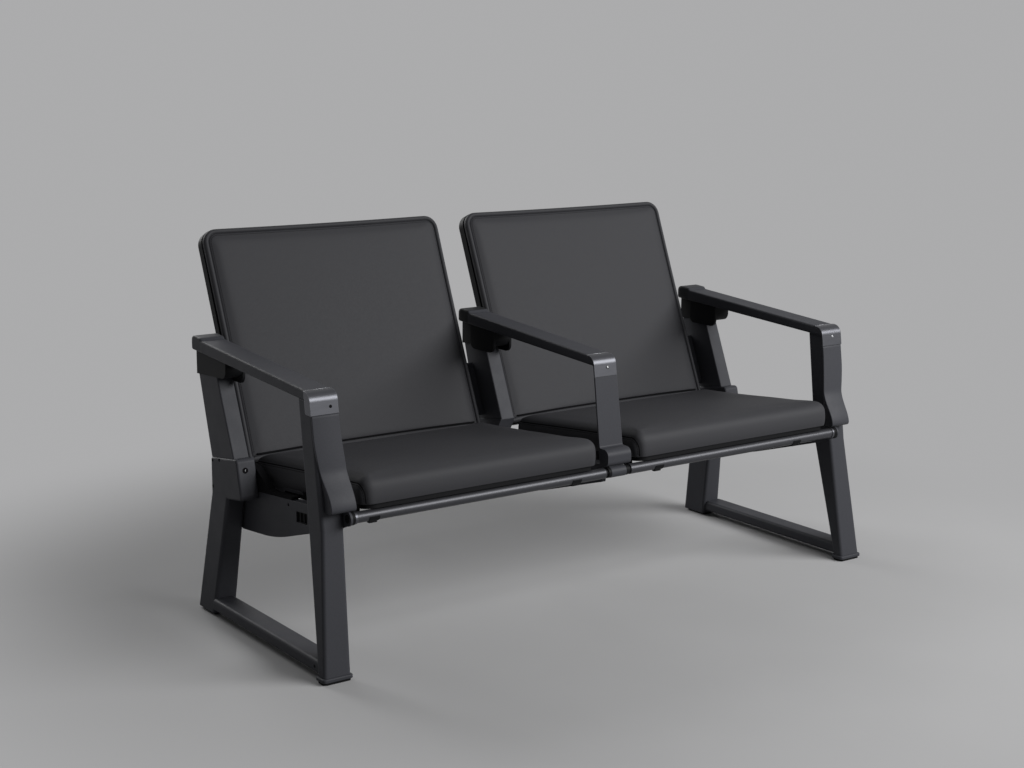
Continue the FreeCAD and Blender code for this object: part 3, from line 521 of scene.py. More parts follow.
class Pad:
    """A padded form: closed rings from the underside, out and over the edge to the crowned top."""

    columns = ACROSS_STEPS + 2 * CORNER_STEPS
    rows = ALONG_STEPS + 2 * CORNER_STEPS
    around = 2 * (columns + rows)

    def __init__(self, half_x, half_y, low_corner, high_corner, bow, rings, crown):
        self.rings = rings
        verts = []
        for inset, height in rings:
            inner = max(inset - INNER_CORNER_START, LEAST_CORNER)
            low, high = (max(corner - inset, inner) for corner in (low_corner, high_corner))
            for x, y in outline_points(half_x - inset, half_y - inset, low, high):
                verts.append((x, y, height))
        faces = []
        for ring in range(len(rings) - 1):
            for step in range(self.around):
                after = (step + 1) % self.around
                low, high = ring * self.around, (ring + 1) * self.around
                faces.append((low + step, low + after, high + after, high + step))
        self.fill(verts, faces, 0, True)
        top_start = len(verts)
        self.fill(verts, faces, len(rings) - 1, False)
        self.faces = faces
        self.verts = np.array(verts)
        inner = rings[-1][0]
        u = self.verts[:, 0] / (half_x - inner)
        v = self.verts[:, 1] / (half_y - inner)
        rise = np.clip((1 - u * u) * (1 - v * v), 0.0, 1.0)
        self.verts[top_start:, 2] += crown * rise[top_start:]
        u = self.verts[:, 0] / half_x
        v = self.verts[:, 1] / half_y
        self.verts[:, 0] -= bow * u * (1 - v * v)
        self.verts[:, 1] -= bow * v * (1 - u * u)

    def fill(self, verts, faces, ring, flip):
        """Fills the innermost ring with a grid."""
        base = ring * self.around
        columns, rows = self.columns, self.rows
        index = {}
        for i in range(columns + 1):
            index[i, 0] = base + i
            index[i, rows] = base + (2 * columns + rows - i) % self.around
        for j in range(rows + 1):
            index[columns, j] = base + columns + j
            index[0, j] = base + (self.around - j) % self.around
        corner = {(i, j): np.array(verts[index[i * columns, j * rows]]) for i in (0, 1) for j in (0, 1)}
        for i in range(1, columns):
            for j in range(1, rows):
                u, v = i / columns, j / rows
                low, high = np.array(verts[index[i, 0]]), np.array(verts[index[i, rows]])
                left, right = np.array(verts[index[0, j]]), np.array(verts[index[columns, j]])
                point = low * (1 - v) + high * v + left * (1 - u) + right * u
                point -= (corner[0, 0] * (1 - u) + corner[1, 0] * u) * (1 - v)
                point -= (corner[0, 1] * (1 - u) + corner[1, 1] * u) * v
                index[i, j] = len(verts)
                verts.append(tuple(point))
        for i in range(columns):
            for j in range(rows):
                face = (index[i, j], index[i + 1, j], index[i + 1, j + 1], index[i, j + 1])
                faces.append(face[::-1] if flip else face)

    def swell(self, name, held, cap, pressure):
        """Blows the form up as cloth, holding some points, and lets no point move further than cap."""
        mesh = bpy.data.meshes.new(name)
        mesh.from_pydata([tuple(v) for v in self.verts], [], self.faces)
        obj = bpy.data.objects.new(name, mesh)
        scene.collection.objects.link(obj)
        group = obj.vertex_groups.new(name="held")
        group.add(held, 1.0, "REPLACE")
        cloth = obj.modifiers.new("Cloth", "CLOTH")
        cloth.settings.quality = CLOTH_QUALITY
        cloth.settings.use_pressure = True
        cloth.settings.uniform_pressure_force = pressure
        cloth.settings.effector_weights.gravity = 0.0
        cloth.settings.tension_stiffness = CLOTH_STIFFNESS
        cloth.settings.compression_stiffness = CLOTH_STIFFNESS
        cloth.settings.vertex_group_mass = "held"
        cloth.point_cache.frame_start = 1
        cloth.point_cache.frame_end = CLOTH_FRAMES
        for step in range(1, CLOTH_FRAMES + 1):
            scene.frame_set(step)
        graph = bpy.context.evaluated_depsgraph_get()
        blown = obj.evaluated_get(graph).to_mesh()
        after = np.empty(len(blown.vertices) * 3)
        blown.vertices.foreach_get("co", after)
        obj.evaluated_get(graph).to_mesh_clear()
        bpy.data.objects.remove(obj)
        scene.frame_set(1)
        move = self.evened(after.reshape(-1, 3) - self.verts, held)
        length = np.linalg.norm(move, axis=1, keepdims=True)
        self.verts = self.verts + move * cap * np.tanh(length / cap) / np.maximum(length, TINY)

    def evened(self, move, held):
        """The moves averaged with their neighbours', so that no fine wrinkles stay."""
        edges = np.array([(a, b) for face in self.faces for a, b in zip(face, face[1:] + face[:1])])
        for _ in range(EVENING_ROUNDS):
            total = np.zeros_like(move)
            count = np.zeros((len(move), 1))
            for here, there in ((0, 1), (1, 0)):
                np.add.at(total, edges[:, here], move[edges[:, there]])
                np.add.at(count, edges[:, here], 1.0)
            move = (move + total / count) / 2
            move[held] = 0.0
        return move

    def lowest(self):
        """The points of the flat underside."""
        return [index for index, vert in enumerate(self.verts) if vert[2] < UNDERSIDE_HEIGHT]

    def ring_points(self, ring):
        return self.verts[ring * self.around:(ring + 1) * self.around]

    def level(self, height):
        """Ring number, with its fraction, at a height up the side."""
        heights = [ring[1] for ring in self.rings]
        return float(np.interp(height, heights, range(len(heights))))

    def at(self, level, step):
        """Point at a ring number and a step round the outline, both of which may be fractions."""
        ring = min(int(level), len(self.rings) - 2)
        rest = level - ring
        column, share = int(step) % self.around, step - int(step)
        after = (column + 1) % self.around
        low, high = self.ring_points(ring), self.ring_points(ring + 1)
        near = low[column] * (1 - share) + low[after] * share
        far = high[column] * (1 - share) + high[after] * share
        return Vector(near * (1 - rest) + far * rest)

    def press(self, path, depth, width):
        """Draws the form in along a sewn path."""
        points = np.array([tuple(p) for p in path])
        centre = self.verts.mean(axis=0)
        for index, vert in enumerate(self.verts):
            near = np.linalg.norm(points - vert, axis=1).min()
            if near < PRESS_REACH * width:
                inward = np.array([centre[0] - vert[0], centre[1] - vert[1], 0.0])
                inward /= max(np.linalg.norm(inward), TINY)
                self.verts[index] = vert + inward * depth * math.exp(-(near / width) ** 2)

    def piece(self, name, place, body, node):
        obj = piece(name, self.verts, self.faces, body, "upholstery", place=place)
        smooth = obj.modifiers.new("Smooth", "SUBSURF")
        smooth.levels = SMOOTH_LEVELS
        smooth.render_levels = SMOOTH_LEVELS
        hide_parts(node)
        return obj


def quarter(steps, first=0):
    """Angles of a quarter turn."""
    return [math.pi / 2 * step / steps for step in range(first, steps + 1)]


def edge_curve(inset, height, in_run, rise, steps, squareness):
    """Rings that round off an edge: from upright at inset and height to level after in_run and rise."""
    power = 2 / squareness
    rings = []
    for angle in quarter(steps, 1):
        share = max(math.cos(angle), 0.0) ** power
        rings.append((inset + in_run * (1 - share), height + rise * math.sin(angle) ** power))
    return rings


def soft_step(share):
    """A share from 0 to 1, eased at both ends."""
    return share * share * (3 - 2 * share)


def moved(place, path):
    return [place @ point for point in path]


# Seats: one cover over the top and front, with a sewn side panel round the sides and the rear
SEAT_TUCK = 0.008
SEAT_SWELL_HEIGHT = 0.024
SEAT_SIDE_STEPS = 5
SEAT_EDGE_RUN = 0.036
SEAT_EDGE_STEPS = 12
SEAT_SQUARENESS = 2.7
SEAT_TOP_INSET = 0.052
SEAT_TOP_RISE = 0.0006
SEAT_RINGS = UNDERSIDE + [
    (SEAT_TUCK * (1 - math.sin(a)), SEAT_SWELL_HEIGHT * (1 - math.cos(a))) for a in quarter(SEAT_SIDE_STEPS)
] + edge_curve(
    0.0, SEAT_SWELL_HEIGHT, SEAT_EDGE_RUN, CUSHION_SIDE - SEAT_SWELL_HEIGHT, SEAT_EDGE_STEPS, SEAT_SQUARENESS
) + [
    (SEAT_TOP_INSET, CUSHION_SIDE + SEAT_TOP_RISE),
]
SEAT_CROWN = 0.004
SEAT_BOW = 0.003
SEAT_REAR_SPREAD = 0.007
SEAT_WIDEST = 0.3335
SEAT_SWELL = 0.004
SEAT_PRESSURE = 4.0
SEAT_REAR_DROP = 0.013
SEAT_DROP_START = -0.050
SEAM_HEIGHT = 0.047
SEAM_FOOT = 0.003
SEAM_RADIUS = 0.028
SEAM_RISE_STEPS = 4
SEAM_TURN_STEPS = 8
SEAM_STRIDE = 0.5
SEAM_CORNER_STEP = CUSHION_FRONT_CORNER * math.pi / 4 / CORNER_STEPS
STEP_LENGTH = (CUSHION_LENGTH - CUSHION_FRONT_CORNER - CUSHION_REAR_CORNER) / ALONG_STEPS
SEAM_THREAD = 0.0014
SEAM_PRESS = 0.0030
SEAM_PRESS_WIDTH = 0.0045
SEAT_STITCH_DROP = 0.0042
SEAT_STITCH = 0.0005


def seam_step(distance):
    """Steps round the outline to a distance from the middle of a front corner."""
    bend = CORNER_STEPS * SEAM_CORNER_STEP
    if distance < bend:
        return distance / SEAM_CORNER_STEP
    return CORNER_STEPS + (distance - bend) / STEP_LENGTH


def seat_seam(pad, drop=0.0):
    """Side panel seam: up one front corner, along the side, round the rear and down at the other corner."""
    radius = SEAM_RADIUS - drop
    height = SEAM_HEIGHT - drop
    climb = []
    for step in range(SEAM_RISE_STEPS):
        rise = (height - radius - SEAM_FOOT) * step / SEAM_RISE_STEPS
        climb.append((SEAM_FOOT + rise, seam_step(drop)))
    for angle in quarter(SEAM_TURN_STEPS):
        run = radius * (1 - math.cos(angle))
        climb.append((height - radius * (1 - math.sin(angle)), seam_step(drop + run)))
    start = pad.columns
    end = pad.around
    turned = climb[-1][1]
    first = [pad.at(pad.level(z), start + step) for z, step in climb]
    last = [pad.at(pad.level(z), end - step) for z, step in climb[::-1]]
    middle = np.arange(start + turned + SEAM_STRIDE, end - turned, SEAM_STRIDE)
    return first + [pad.at(pad.level(height), float(step)) for step in middle] + last


def make_seats():
    half_length = CUSHION_LENGTH / 2
    pad = Pad(CUSHION_HALF_WIDTH, half_length, CUSHION_FRONT_CORNER, CUSHION_REAR_CORNER, SEAT_BOW,
              SEAT_RINGS, SEAT_CROWN)
    rearward = np.clip(pad.verts[:, 1] / half_length, 0.0, 1.0) ** 2
    pad.verts[:, 0] *= 1 + rearward * SEAT_REAR_SPREAD / CUSHION_HALF_WIDTH
    pad.swell("seat_form", pad.lowest(), SEAT_SWELL, SEAT_PRESSURE)
    pad.verts[:, 0] = np.clip(pad.verts[:, 0], -SEAT_WIDEST, SEAT_WIDEST)
    rearward = np.clip((pad.verts[:, 1] - SEAT_DROP_START) / (half_length - SEAT_DROP_START), 0.0, 1.0)
    lowness = np.clip(1 - pad.verts[:, 2] / SEAT_SWELL_HEIGHT, 0.0, 1.0)
    panel = slice(len(UNDERSIDE) * pad.around, len(SEAT_RINGS) * pad.around)
    pad.verts[panel, 2] -= (SEAT_REAR_DROP * rearward * lowness)[panel]
    pad.press(seat_seam(pad), SEAM_PRESS, SEAM_PRESS_WIDTH)
    seam = seat_seam(pad)
    stitched = seat_seam(pad, SEAT_STITCH_DROP)
    for side, sign in SIDES:
        centre = seat_origin + ACROSS * (sign * SEAT_CENTRE)
        place = Matrix.Translation(centre) @ seat_turn.to_4x4() @ Matrix.Translation((0.0, half_length, 0.0))
        pad.piece(side + "_seat_cover", place, side + "_seat", side + "_seat_cushion")
        thread = Parts()
        thread.tube(moved(place, seam), SEAM_THREAD)
        thread.stitches(moved(place, stitched), STITCH_LENGTH, STITCH_GAP, SEAT_STITCH)
        thread.piece(side + "_seat_seam", side + "_seat", "upholstery", THREAD_AND_SHADE_FINISH)


# Backs: a rolled border round a flat panel, with a sewn groove between them
ROLL_HALF = 0.0065
ROLL_WIDEST = 0.0088
ROLL_RISE = 0.0090
ROLL_END = math.radians(160.0)
ROLL_STEPS = 11
PANEL_RUN = 0.034
PANEL_STEPS = 8
PANEL_HEIGHT = 0.0196
PANEL_SQUARENESS = 3.0
PANEL_TOP_INSET = 0.062
PANEL_TOP_RISE = 0.0002
BACK_TUCK = 0.004
BACK_SIDE_STEPS = 4
BACK_CROWN = 0.002
BACK_BOW = 0.002
BACK_SWELL = 0.003
BACK_PRESSURE = 3.0
roll = [ROLL_END * step / ROLL_STEPS for step in range(1, ROLL_STEPS + 1)]
groove_inset = ROLL_HALF * (1 - math.cos(ROLL_END))
groove_height = ROLL_WIDEST + ROLL_RISE * math.sin(ROLL_END)
BACK_RINGS = UNDERSIDE + [
    (BACK_TUCK * (1 - math.sin(a)), ROLL_WIDEST * (1 - math.cos(a))) for a in quarter(BACK_SIDE_STEPS)
] + [
    (ROLL_HALF * (1 - math.cos(a)), ROLL_WIDEST + ROLL_RISE * math.sin(a)) for a in roll
] + edge_curve(
    groove_inset, groove_height, PANEL_RUN, PANEL_HEIGHT - groove_height, PANEL_STEPS, PANEL_SQUARENESS
) + [
    (PANEL_TOP_INSET, PANEL_HEIGHT + PANEL_TOP_RISE),
]
GROOVE_RING = len(UNDERSIDE) + BACK_SIDE_STEPS + ROLL_STEPS
STITCH_RING = GROOVE_RING + 3
GROOVE_THREAD = 0.0009
TUCK_THREAD = 0.0024
TUCK_ENDS = 2
BACK_STITCH = 0.0004
FADE_STEPS = 10
LOW_EDGE_RUN = 0.016
LOW_EDGE_POWER = 3


def smooth_low_edge(pad):
    """Takes the roll and the groove out of the low edge, where the cover runs on down behind the seat."""
    for ring in range(GROOVE_RING - ROLL_STEPS, GROOVE_RING + PANEL_STEPS):
        left = max(1 - pad.rings[ring][0] / LOW_EDGE_RUN, 0.0)
        curve = (1 - left ** LOW_EDGE_POWER) ** (1 / LOW_EDGE_POWER)
        plain = ROLL_WIDEST + (PANEL_HEIGHT - ROLL_WIDEST) * curve
        for step in range(pad.columns + 1):
            share = min(step, pad.columns - step, FADE_STEPS) / FADE_STEPS
            index = ring * pad.around + step
            pad.verts[index, 2] += (plain - pad.verts[index, 2]) * soft_step(share)


def make_backs():
    half_length = BACK_LENGTH / 2
    pad = Pad(BACK_HALF_WIDTH, half_length, BACK_FOOT_CORNER, BACK_HEAD_CORNER, BACK_BOW,
              BACK_RINGS, BACK_CROWN)
    smooth_low_edge(pad)
    sewn = range(pad.columns, pad.around)
    held = {GROOVE_RING * pad.around + step for step in sewn} | set(pad.lowest())
    pad.swell("back_form", sorted(held), BACK_SWELL, BACK_PRESSURE)
    groove = [Vector(pad.ring_points(GROOVE_RING)[step]) for step in sewn]
    stitched = [Vector(pad.ring_points(STITCH_RING)[step]) for step in sewn]
    low_side = range(TUCK_ENDS, pad.columns - TUCK_ENDS + 1)
    tucked = [Vector(pad.ring_points(STITCH_RING)[step]) for step in low_side]
    upright = Matrix(((1, 0, 0, 0), (0, 0, -1, PAD_DEPTH), (0, 1, 0, half_length), (0, 0, 0, 1)))
    for side, sign in SIDES:
        centre = back_origin + ACROSS * (sign * SEAT_CENTRE)
        place = Matrix.Translation(centre) @ back_turn.to_4x4() @ upright
        pad.piece(side + "_back_cover", place, "frame", side + "_back_pad")
        thread = Parts()
        thread.tube(moved(place, groove), GROOVE_THREAD)
        thread.tube(moved(place, tucked), TUCK_THREAD)
        thread.stitches(moved(place, stitched), STITCH_LENGTH, STITCH_GAP, BACK_STITCH)
        thread.piece(side + "_back_seam", "frame", "upholstery", THREAD_AND_SHADE_FINISH)


make_seats()
make_backs()

# Small fittings; a screw's or hole's profile gives radii and heights
FRONT_NORMAL = Vector((0.0, -1.0, LEG_LEAN)).normalized()
DOWN_FRONT = FRONT_NORMAL.cross(ACROSS)
ALONG_ARM = Vector((0.0, 1.0, ARM_RISE)).normalized()
SCREW = [
    (0.0034, -0.0004),
    (0.0034, 0.0003),
    (0.0030, 0.0009),
    (0.0022, 0.0012),
    (0.0014, 0.0012),
    (0.0012, 0.0003),
]
# Profile of a flat dark disc, used where a hole or recess shows dark
HOLE = [(0.0036, -0.0004), (0.0036, 0.0002), (0.0032, 0.0003), (0.0028, 0.0001)]
LEFT_CAP_HOLE = (-ARM_PITCH + 0.014, 0.583)
MIDDLE_CAP_SCREW = (0.007, 0.588)
RIGHT_CAP_SCREW = (ARM_PITCH + 0.003, 0.590)
CAP_WELL_SCALE = 1.25
# Dark strip painted as the shadow line of the seam under each cap
CAP_SEAM_SHADOW_SIZES = (STRAP_WIDTH - 0.001, 0.0007, 0.0008)
CAP_SEAM_SHADOW_SINK = 0.0003
# Bright strips painted as highlights along the caps' rear edges and on the step at the middle arm's hood
CAP_REAR_HIGHLIGHT_SIZES = (STRAP_WIDTH - 0.004, 0.0010, 0.0006)
HOOD_HIGHLIGHT_SIZES = (0.056, 0.0012, 0.0008)
HOOD_HIGHLIGHT_AHEAD = 0.003
LINE_EDGE = 0.0001


def scaled(profile, factor):
    return [(radius * factor, height * factor) for radius, height in profile]


def front_y(z):
    return FRONT_FOOT_Y + LEG_LEAN * (z - FOOT_HEIGHT)


def cap_face(x, z):
    return Vector((x, front_y(z) - CAP_THICKNESS, z))


def cap_fittings():
    """Fittings on each cap's face: a screw, a dark disc painted as a hole's shade, or a screw in a dark ring
    painted as its recess's shade; below each cap a dark strip painted as the seam's shadow line; along each cap's
    rear edge and across the middle arm at its hood a bright strip painted as a highlight.
    """
    screws = Parts()
    hole_shades = Parts()
    seam_shadow_lines = Parts()
    # Dark discs painted as shade: in the left cap's hole and in the recess round the middle cap's screw
    hole_shades.turned(HOLE, cap_face(*LEFT_CAP_HOLE), FRONT_NORMAL)
    hole_shades.turned(scaled(HOLE, CAP_WELL_SCALE), cap_face(*MIDDLE_CAP_SCREW), FRONT_NORMAL)
    for spot in (MIDDLE_CAP_SCREW, RIGHT_CAP_SCREW):
        screws.turned(SCREW, cap_face(*spot), FRONT_NORMAL)
    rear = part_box("middle_cap")[1]
    for centre in (-ARM_PITCH, 0.0, ARM_PITCH):
        # A dark strip painted as the shadow line of the seam under the cap
        seam = cap_face(centre, CAP_BOTTOM) - FRONT_NORMAL * CAP_SEAM_SHADOW_SINK
        seam_shadow_lines.bar(seam, ACROSS, DOWN_FRONT, CAP_SEAM_SHADOW_SIZES, LINE_EDGE)
        # A bright strip painted as the highlight along the cap's rear edge
        screws.bar(Vector((centre, rear.y, rear.z)), ACROSS, ALONG_ARM, CAP_REAR_HIGHLIGHT_SIZES, LINE_EDGE)
    # A bright strip painted as the highlight on the step at the middle arm's hood
    hood_y = HOOD_FRONT - HOOD_HIGHLIGHT_AHEAD
    hood_highlight = Vector((0.0, hood_y, rear.z + ARM_RISE * (hood_y - rear.y)))
    screws.bar(hood_highlight, ACROSS, ALONG_ARM, HOOD_HIGHLIGHT_SIZES, LINE_EDGE)
    screws.piece("cap_screws_and_highlight_lines", "frame", "bright_metal", POLISHED_AND_HIGHLIGHT)
    hole_shades.piece("cap_hole_shades", "frame", "black_plastic", THREAD_AND_SHADE_FINISH)
    seam_shadow_lines.piece("cap_seam_shadows", "frame", "black_plastic", smooth=False)


STRAP_SWEEP = 0.014
STRAP_SWEEP_HEIGHTS = (0.525, 0.385)
STRAP_SPREAD = 0.009
STRAP_SPREAD_HEIGHTS = (0.560, 0.400)
FLARE_HEIGHTS = (0.452, 0.373)
LIP_REACH = 0.030
LIP_ROUND = 0.010
STRAP_GAP = 0.0003
STRAP_EDGE = 0.0016
STRAP_EDGE_STEPS = 3
STRAP_STEPS = 36
LIP_STEPS = 6


def eased(ends, place):
    """0 before the first end, 1 past the second and a smooth curve between them."""
    return soft_step(min(max((ends[0] - place) / (ends[0] - ends[1]), 0.0), 1.0))


def strap_section(z, reach, sign):
    """Outline of an end strap at one height: flat against the leg, with rounded front edges."""
    outer = STRAP_WIDTH / 2 - STRAP_SWEEP * eased(STRAP_SWEEP_HEIGHTS, z)
    inner = STRAP_WIDTH / 2 + STRAP_SPREAD * eased(STRAP_SPREAD_HEIGHTS, z)
    points = [(-inner, STRAP_GAP)]
    for x, start in ((-inner + STRAP_EDGE, 180.0), (outer - STRAP_EDGE, 90.0)):
        for step in range(STRAP_EDGE_STEPS + 1):
            angle = math.radians(start - 90.0 * step / STRAP_EDGE_STEPS)
            ahead = reach - STRAP_EDGE + STRAP_EDGE * math.sin(angle)
            points.append((x + STRAP_EDGE * math.cos(angle), ahead))
    points.append((outer, STRAP_GAP))
    return [Vector((sign * (ARM_PITCH + x), front_y(z) - ahead, z)) for x, ahead in points]


def end_straps():
    """Straps below the end caps, whose lower end flares out in one smooth curve to a rounded lip."""
    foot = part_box("left_strap")[0].z
    levels = []
    for step in range(STRAP_STEPS + 1):
        z = CAP_BOTTOM + (foot + LIP_ROUND - CAP_BOTTOM) * step / STRAP_STEPS
        levels.append((z, CAP_THICKNESS + (LIP_REACH - CAP_THICKNESS) * eased(FLARE_HEIGHTS, z)))
    for angle in quarter(LIP_STEPS, 1):
        reach = LIP_REACH - LIP_ROUND * (1 - math.cos(angle))
        levels.append((foot + LIP_ROUND * (1 - math.sin(angle)), reach))
    for side, sign in SIDES:
        strap = Parts()
        verts = []
        for z, reach in levels:
            verts.extend(strap_section(z, reach, sign))
        strap.rings(verts, len(verts) // len(levels))
        band = strap.piece(side + "_strap_band", "frame", "frame_paint")
        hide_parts(side + "_strap")


HEAD_HALF_WIDTH = 0.024
HEAD_BOLT_DROP = 0.27
HEAD_BOLT_SHIFT = 0.004
HEAD_BOLT_LIFT = 0.0008
HEAD_BOLT_SCALE = 0.5
HEAD_WELL_SCALE = 1.9
SIDE_SCREWS = ((0.009, 0.007), (0.044, 0.005), (0.008, 0.070))
SIDE_SCREW_SCALE = 1.1
RAIL_OUTER_FACE = 0.806
RAIL_SCREW = (-0.335, 0.028)


def head_fittings():
    """The bolt in the raked nose of each leg head, set in a dark well painted as its counterbore's shade, three
    screws in its outer face and one in the rail, drawn as dark discs.
    """
    wells = Parts()
    bolts = Parts()
    rear = back_origin.y + HEAD_BEHIND_BACK
    top = back_origin.z + HEAD_ABOVE_BACK
    nose_top = Vector((0.0, rear - HEAD_DEPTH, top + HEAD_TILT * HEAD_DEPTH))
    nose_foot = Vector((0.0, rear - HEAD_DEPTH - HEAD_NOSE_RAKE, top - HEAD_HEIGHT))
    normal = (nose_foot - nose_top).cross(ACROSS).normalized()
    for _, sign in SIDES:
        place = nose_top.lerp(nose_foot, HEAD_BOLT_DROP) + ACROSS * sign * (ARM_PITCH + HEAD_BOLT_SHIFT)
        place += normal * HEAD_BOLT_LIFT
        # A dark well painted as the shade of the bolt's counterbore
        wells.turned(scaled(HOLE, HEAD_WELL_SCALE), place, normal)
        bolts.turned(scaled(SCREW, HEAD_BOLT_SCALE), place, normal)
        outer = ACROSS * sign
        for behind, below in SIDE_SCREWS:
            height = top + HEAD_TILT * behind - below
            spot = Vector((sign * (ARM_PITCH + HEAD_HALF_WIDTH), rear - behind, height))
            wells.turned(scaled(HOLE, SIDE_SCREW_SCALE), spot, outer)
        wells.turned(HOLE, Vector((sign * RAIL_OUTER_FACE, *RAIL_SCREW)), outer)
    wells.piece("head_well_shades_and_screws", "frame", "black_plastic", THREAD_AND_SHADE_FINISH)
    bolts.piece("head_bolts", "frame", "bright_metal", POLISHED_AND_HIGHLIGHT)


CLIPS = (-0.671, -0.125, 0.125, 0.585)
CLIP_WIDTH = 0.026
CLIP_GAP = 0.0002
CLIP_SHEET = 0.0012
CLIP_STEPS = 10
CLIP_FOOT_SIZES = (0.8 * CLIP_WIDTH, 0.010, 0.0036)
CLIP_FOOT_DROP = 0.0022
CLIP_FOOT_EDGE = 0.0008


def tube_clips():
    """Dark saddle clips under the front tube."""
    clips = Parts()
    for x in CLIPS:
        inner, outer = [], []
        for step in range(CLIP_STEPS + 1):
            angle = math.pi + math.pi * step / CLIP_STEPS
            spoke = Vector((0.0, math.cos(angle), math.sin(angle)))
            inner.append(spoke * (TUBE_RADIUS + CLIP_GAP))
            outer.append(spoke * (TUBE_RADIUS + CLIP_SHEET))
        section = inner + outer[::-1]
        verts = []
        for offset in (-CLIP_WIDTH / 2, CLIP_WIDTH / 2):
            verts.extend(Vector((x + offset, TUBE_Y, TUBE_Z)) + point for point in section)
        clips.rings(verts, len(section))
        foot = Vector((x, TUBE_Y, TUBE_Z - TUBE_RADIUS - CLIP_FOOT_DROP))
        clips.bar(foot, ACROSS, BACKWARD, CLIP_FOOT_SIZES, CLIP_FOOT_EDGE)
    clips.piece("tube_clips", "frame", "black_plastic", smooth=False)


# Near-black covers painted as the shade in the gap between each cushion's side and the leg head
FLANGE_ABOVE_PIVOT = 0.0215
FLANGE_FACES = (0.7136, 0.7316)
COVER_ENDS = (-0.110, 0.112)
COVER_LOW = 0.007
COVER_TOP = 0.372
COVER_RISE = (-0.020, 0.078)
COVER_STEPS = 40
COVER_EDGE = 0.0025
COVER_SUNK = 0.002


def cover_profile():
    """Side outline of the near-black cover on a plate's flange, which swells up behind the seat's rear corner as
    painted shade in the gap beside it.
    """
    low, high = [], []
    for step in range(COVER_STEPS + 1):
        y = COVER_ENDS[0] + (COVER_ENDS[1] - COVER_ENDS[0]) * step / COVER_STEPS
        flange = pivot.z + FLANGE_ABOVE_PIVOT + math.tan(SEAT_ANGLE) * (pivot.y - y)
        low.append((y, flange - COVER_SUNK))
        swell = (COVER_TOP - flange - COVER_LOW) * eased(COVER_RISE, y)
        high.append((y, flange + COVER_LOW + swell))
    return low + high[::-1]


# Near-black covers that paint the shade in the gap between the cushion and the leg head
def flange_shade_covers():
    profile = cover_profile()
    middle = [sum(values) / len(profile) for values in zip(*profile)]
    near, far = FLANGE_FACES
    layers = ((near, COVER_EDGE), (near + COVER_EDGE, 0.0), (far - COVER_EDGE, 0.0), (far, COVER_EDGE))
    for side, sign in SIDES:
        cover = Parts()
        verts = []
        for x, inset in layers:
            for y, z in profile:
                inward = Vector((0.0, middle[0] - y, middle[1] - z)).normalized() * inset
                verts.append(Vector((sign * x, y, z)) + inward)
        cover.rings(verts, len(profile))
        cover.piece(side + "_flange_shade_cover", "frame", "black_plastic", THREAD_AND_SHADE_FINISH, smooth=False)


SHELL_DEPTH = 0.024
SHELL_SCREWS = ((0.290, 0.070), (0.290, 0.150), (0.265, 0.510))
SHELL_SCREW_SCALE = 1.6


def shell_screws():
    """Screws in the rear faces of the back shells."""
    screws = Parts()
    behind = back_turn @ BACKWARD
    up = back_turn @ UPWARD
    for _, sign in SIDES:
        middle = back_origin + ACROSS * sign * SEAT_CENTRE + behind * (PAD_DEPTH + SHELL_DEPTH)
        for across, height in SHELL_SCREWS:
            for half in (-across, across):
                spot = middle + ACROSS * half + up * height
                screws.turned(scaled(SCREW, SHELL_SCREW_SCALE), spot, behind)
    screws.piece("shell_screws", "frame", "frame_paint")


cap_fittings()
end_straps()
head_fittings()
tube_clips()
flange_shade_covers()
shell_screws()

# Camera, light and floor
CAMERA_PLACE = Vector((-2.489, -3.383, 1.343))
CAMERA_YAW = math.radians(35.79)
CAMERA_PITCH = math.radians(11.40)
CAMERA_ROLL = math.radians(0.417)
FOCAL_PIXELS = 1708.0
PHOTO_WIDTH = 1024.0
SENSOR = 36.0
AIM = Vector((0.0, 0.0, 0.4))
LAMP_DISTANCE = 4.5
KEY_WAY = Vector((0.47, -0.75, 0.47))
KEY_SIZE = (4.2, 2.2)
KEY_POWER = 172.0
REAR_WAY = Vector((-0.15, 0.90, 0.45))
REAR_SIZE = (3.0, 3.0)
REAR_POWER = 85.0
SOFT_LIGHT = 0.08
FLOOR_SIZE = 14.0
FLOOR_FADE = (0.95, 1.9)


def make_camera():
    forward = Vector((
        math.sin(CAMERA_YAW) * math.cos(CAMERA_PITCH),
        math.cos(CAMERA_YAW) * math.cos(CAMERA_PITCH),
        -math.sin(CAMERA_PITCH),
    ))
    level = Vector((math.cos(CAMERA_YAW), -math.sin(CAMERA_YAW), 0.0))
    upright = level.cross(forward)
    right = level * math.cos(CAMERA_ROLL) + upright * math.sin(CAMERA_ROLL)
    up = upright * math.cos(CAMERA_ROLL) - level * math.sin(CAMERA_ROLL)
    data = bpy.data.cameras.new("camera")
    data.sensor_fit = "HORIZONTAL"
    data.sensor_width = SENSOR
    data.lens = FOCAL_PIXELS / PHOTO_WIDTH * SENSOR
    camera = bpy.data.objects.new("camera", data)
    turn = Matrix((right, up, -forward)).transposed().to_4x4()
    camera.matrix_world = Matrix.Translation(CAMERA_PLACE) @ turn
    scene.collection.objects.link(camera)
    scene.camera = camera


def make_light(name, way, size, power):
    """An oval area lamp that aims at the middle of the row from a given way."""
    data = bpy.data.lights.new(name, "AREA")
    data.shape = "ELLIPSE"
    data.size, data.size_y = size
    data.energy = power
    lamp = bpy.data.objects.new(name, data)
    lamp.location = AIM + way.normalized() * LAMP_DISTANCE
    lamp.rotation_euler = (-way).to_track_quat("-Z", "Y").to_euler()
    scene.collection.objects.link(lamp)


def seen_directly(paint):
    """1 for rays from the camera or from a mirror or glass, 0 for the soft light that falls on things."""
    path = paint.add("ShaderNodeLightPath").outputs
    shiny = paint.combined("MAXIMUM", path["Is Glossy Ray"], path["Is Transmission Ray"])
    return paint.combined("MAXIMUM", path["Is Camera Ray"], shiny)


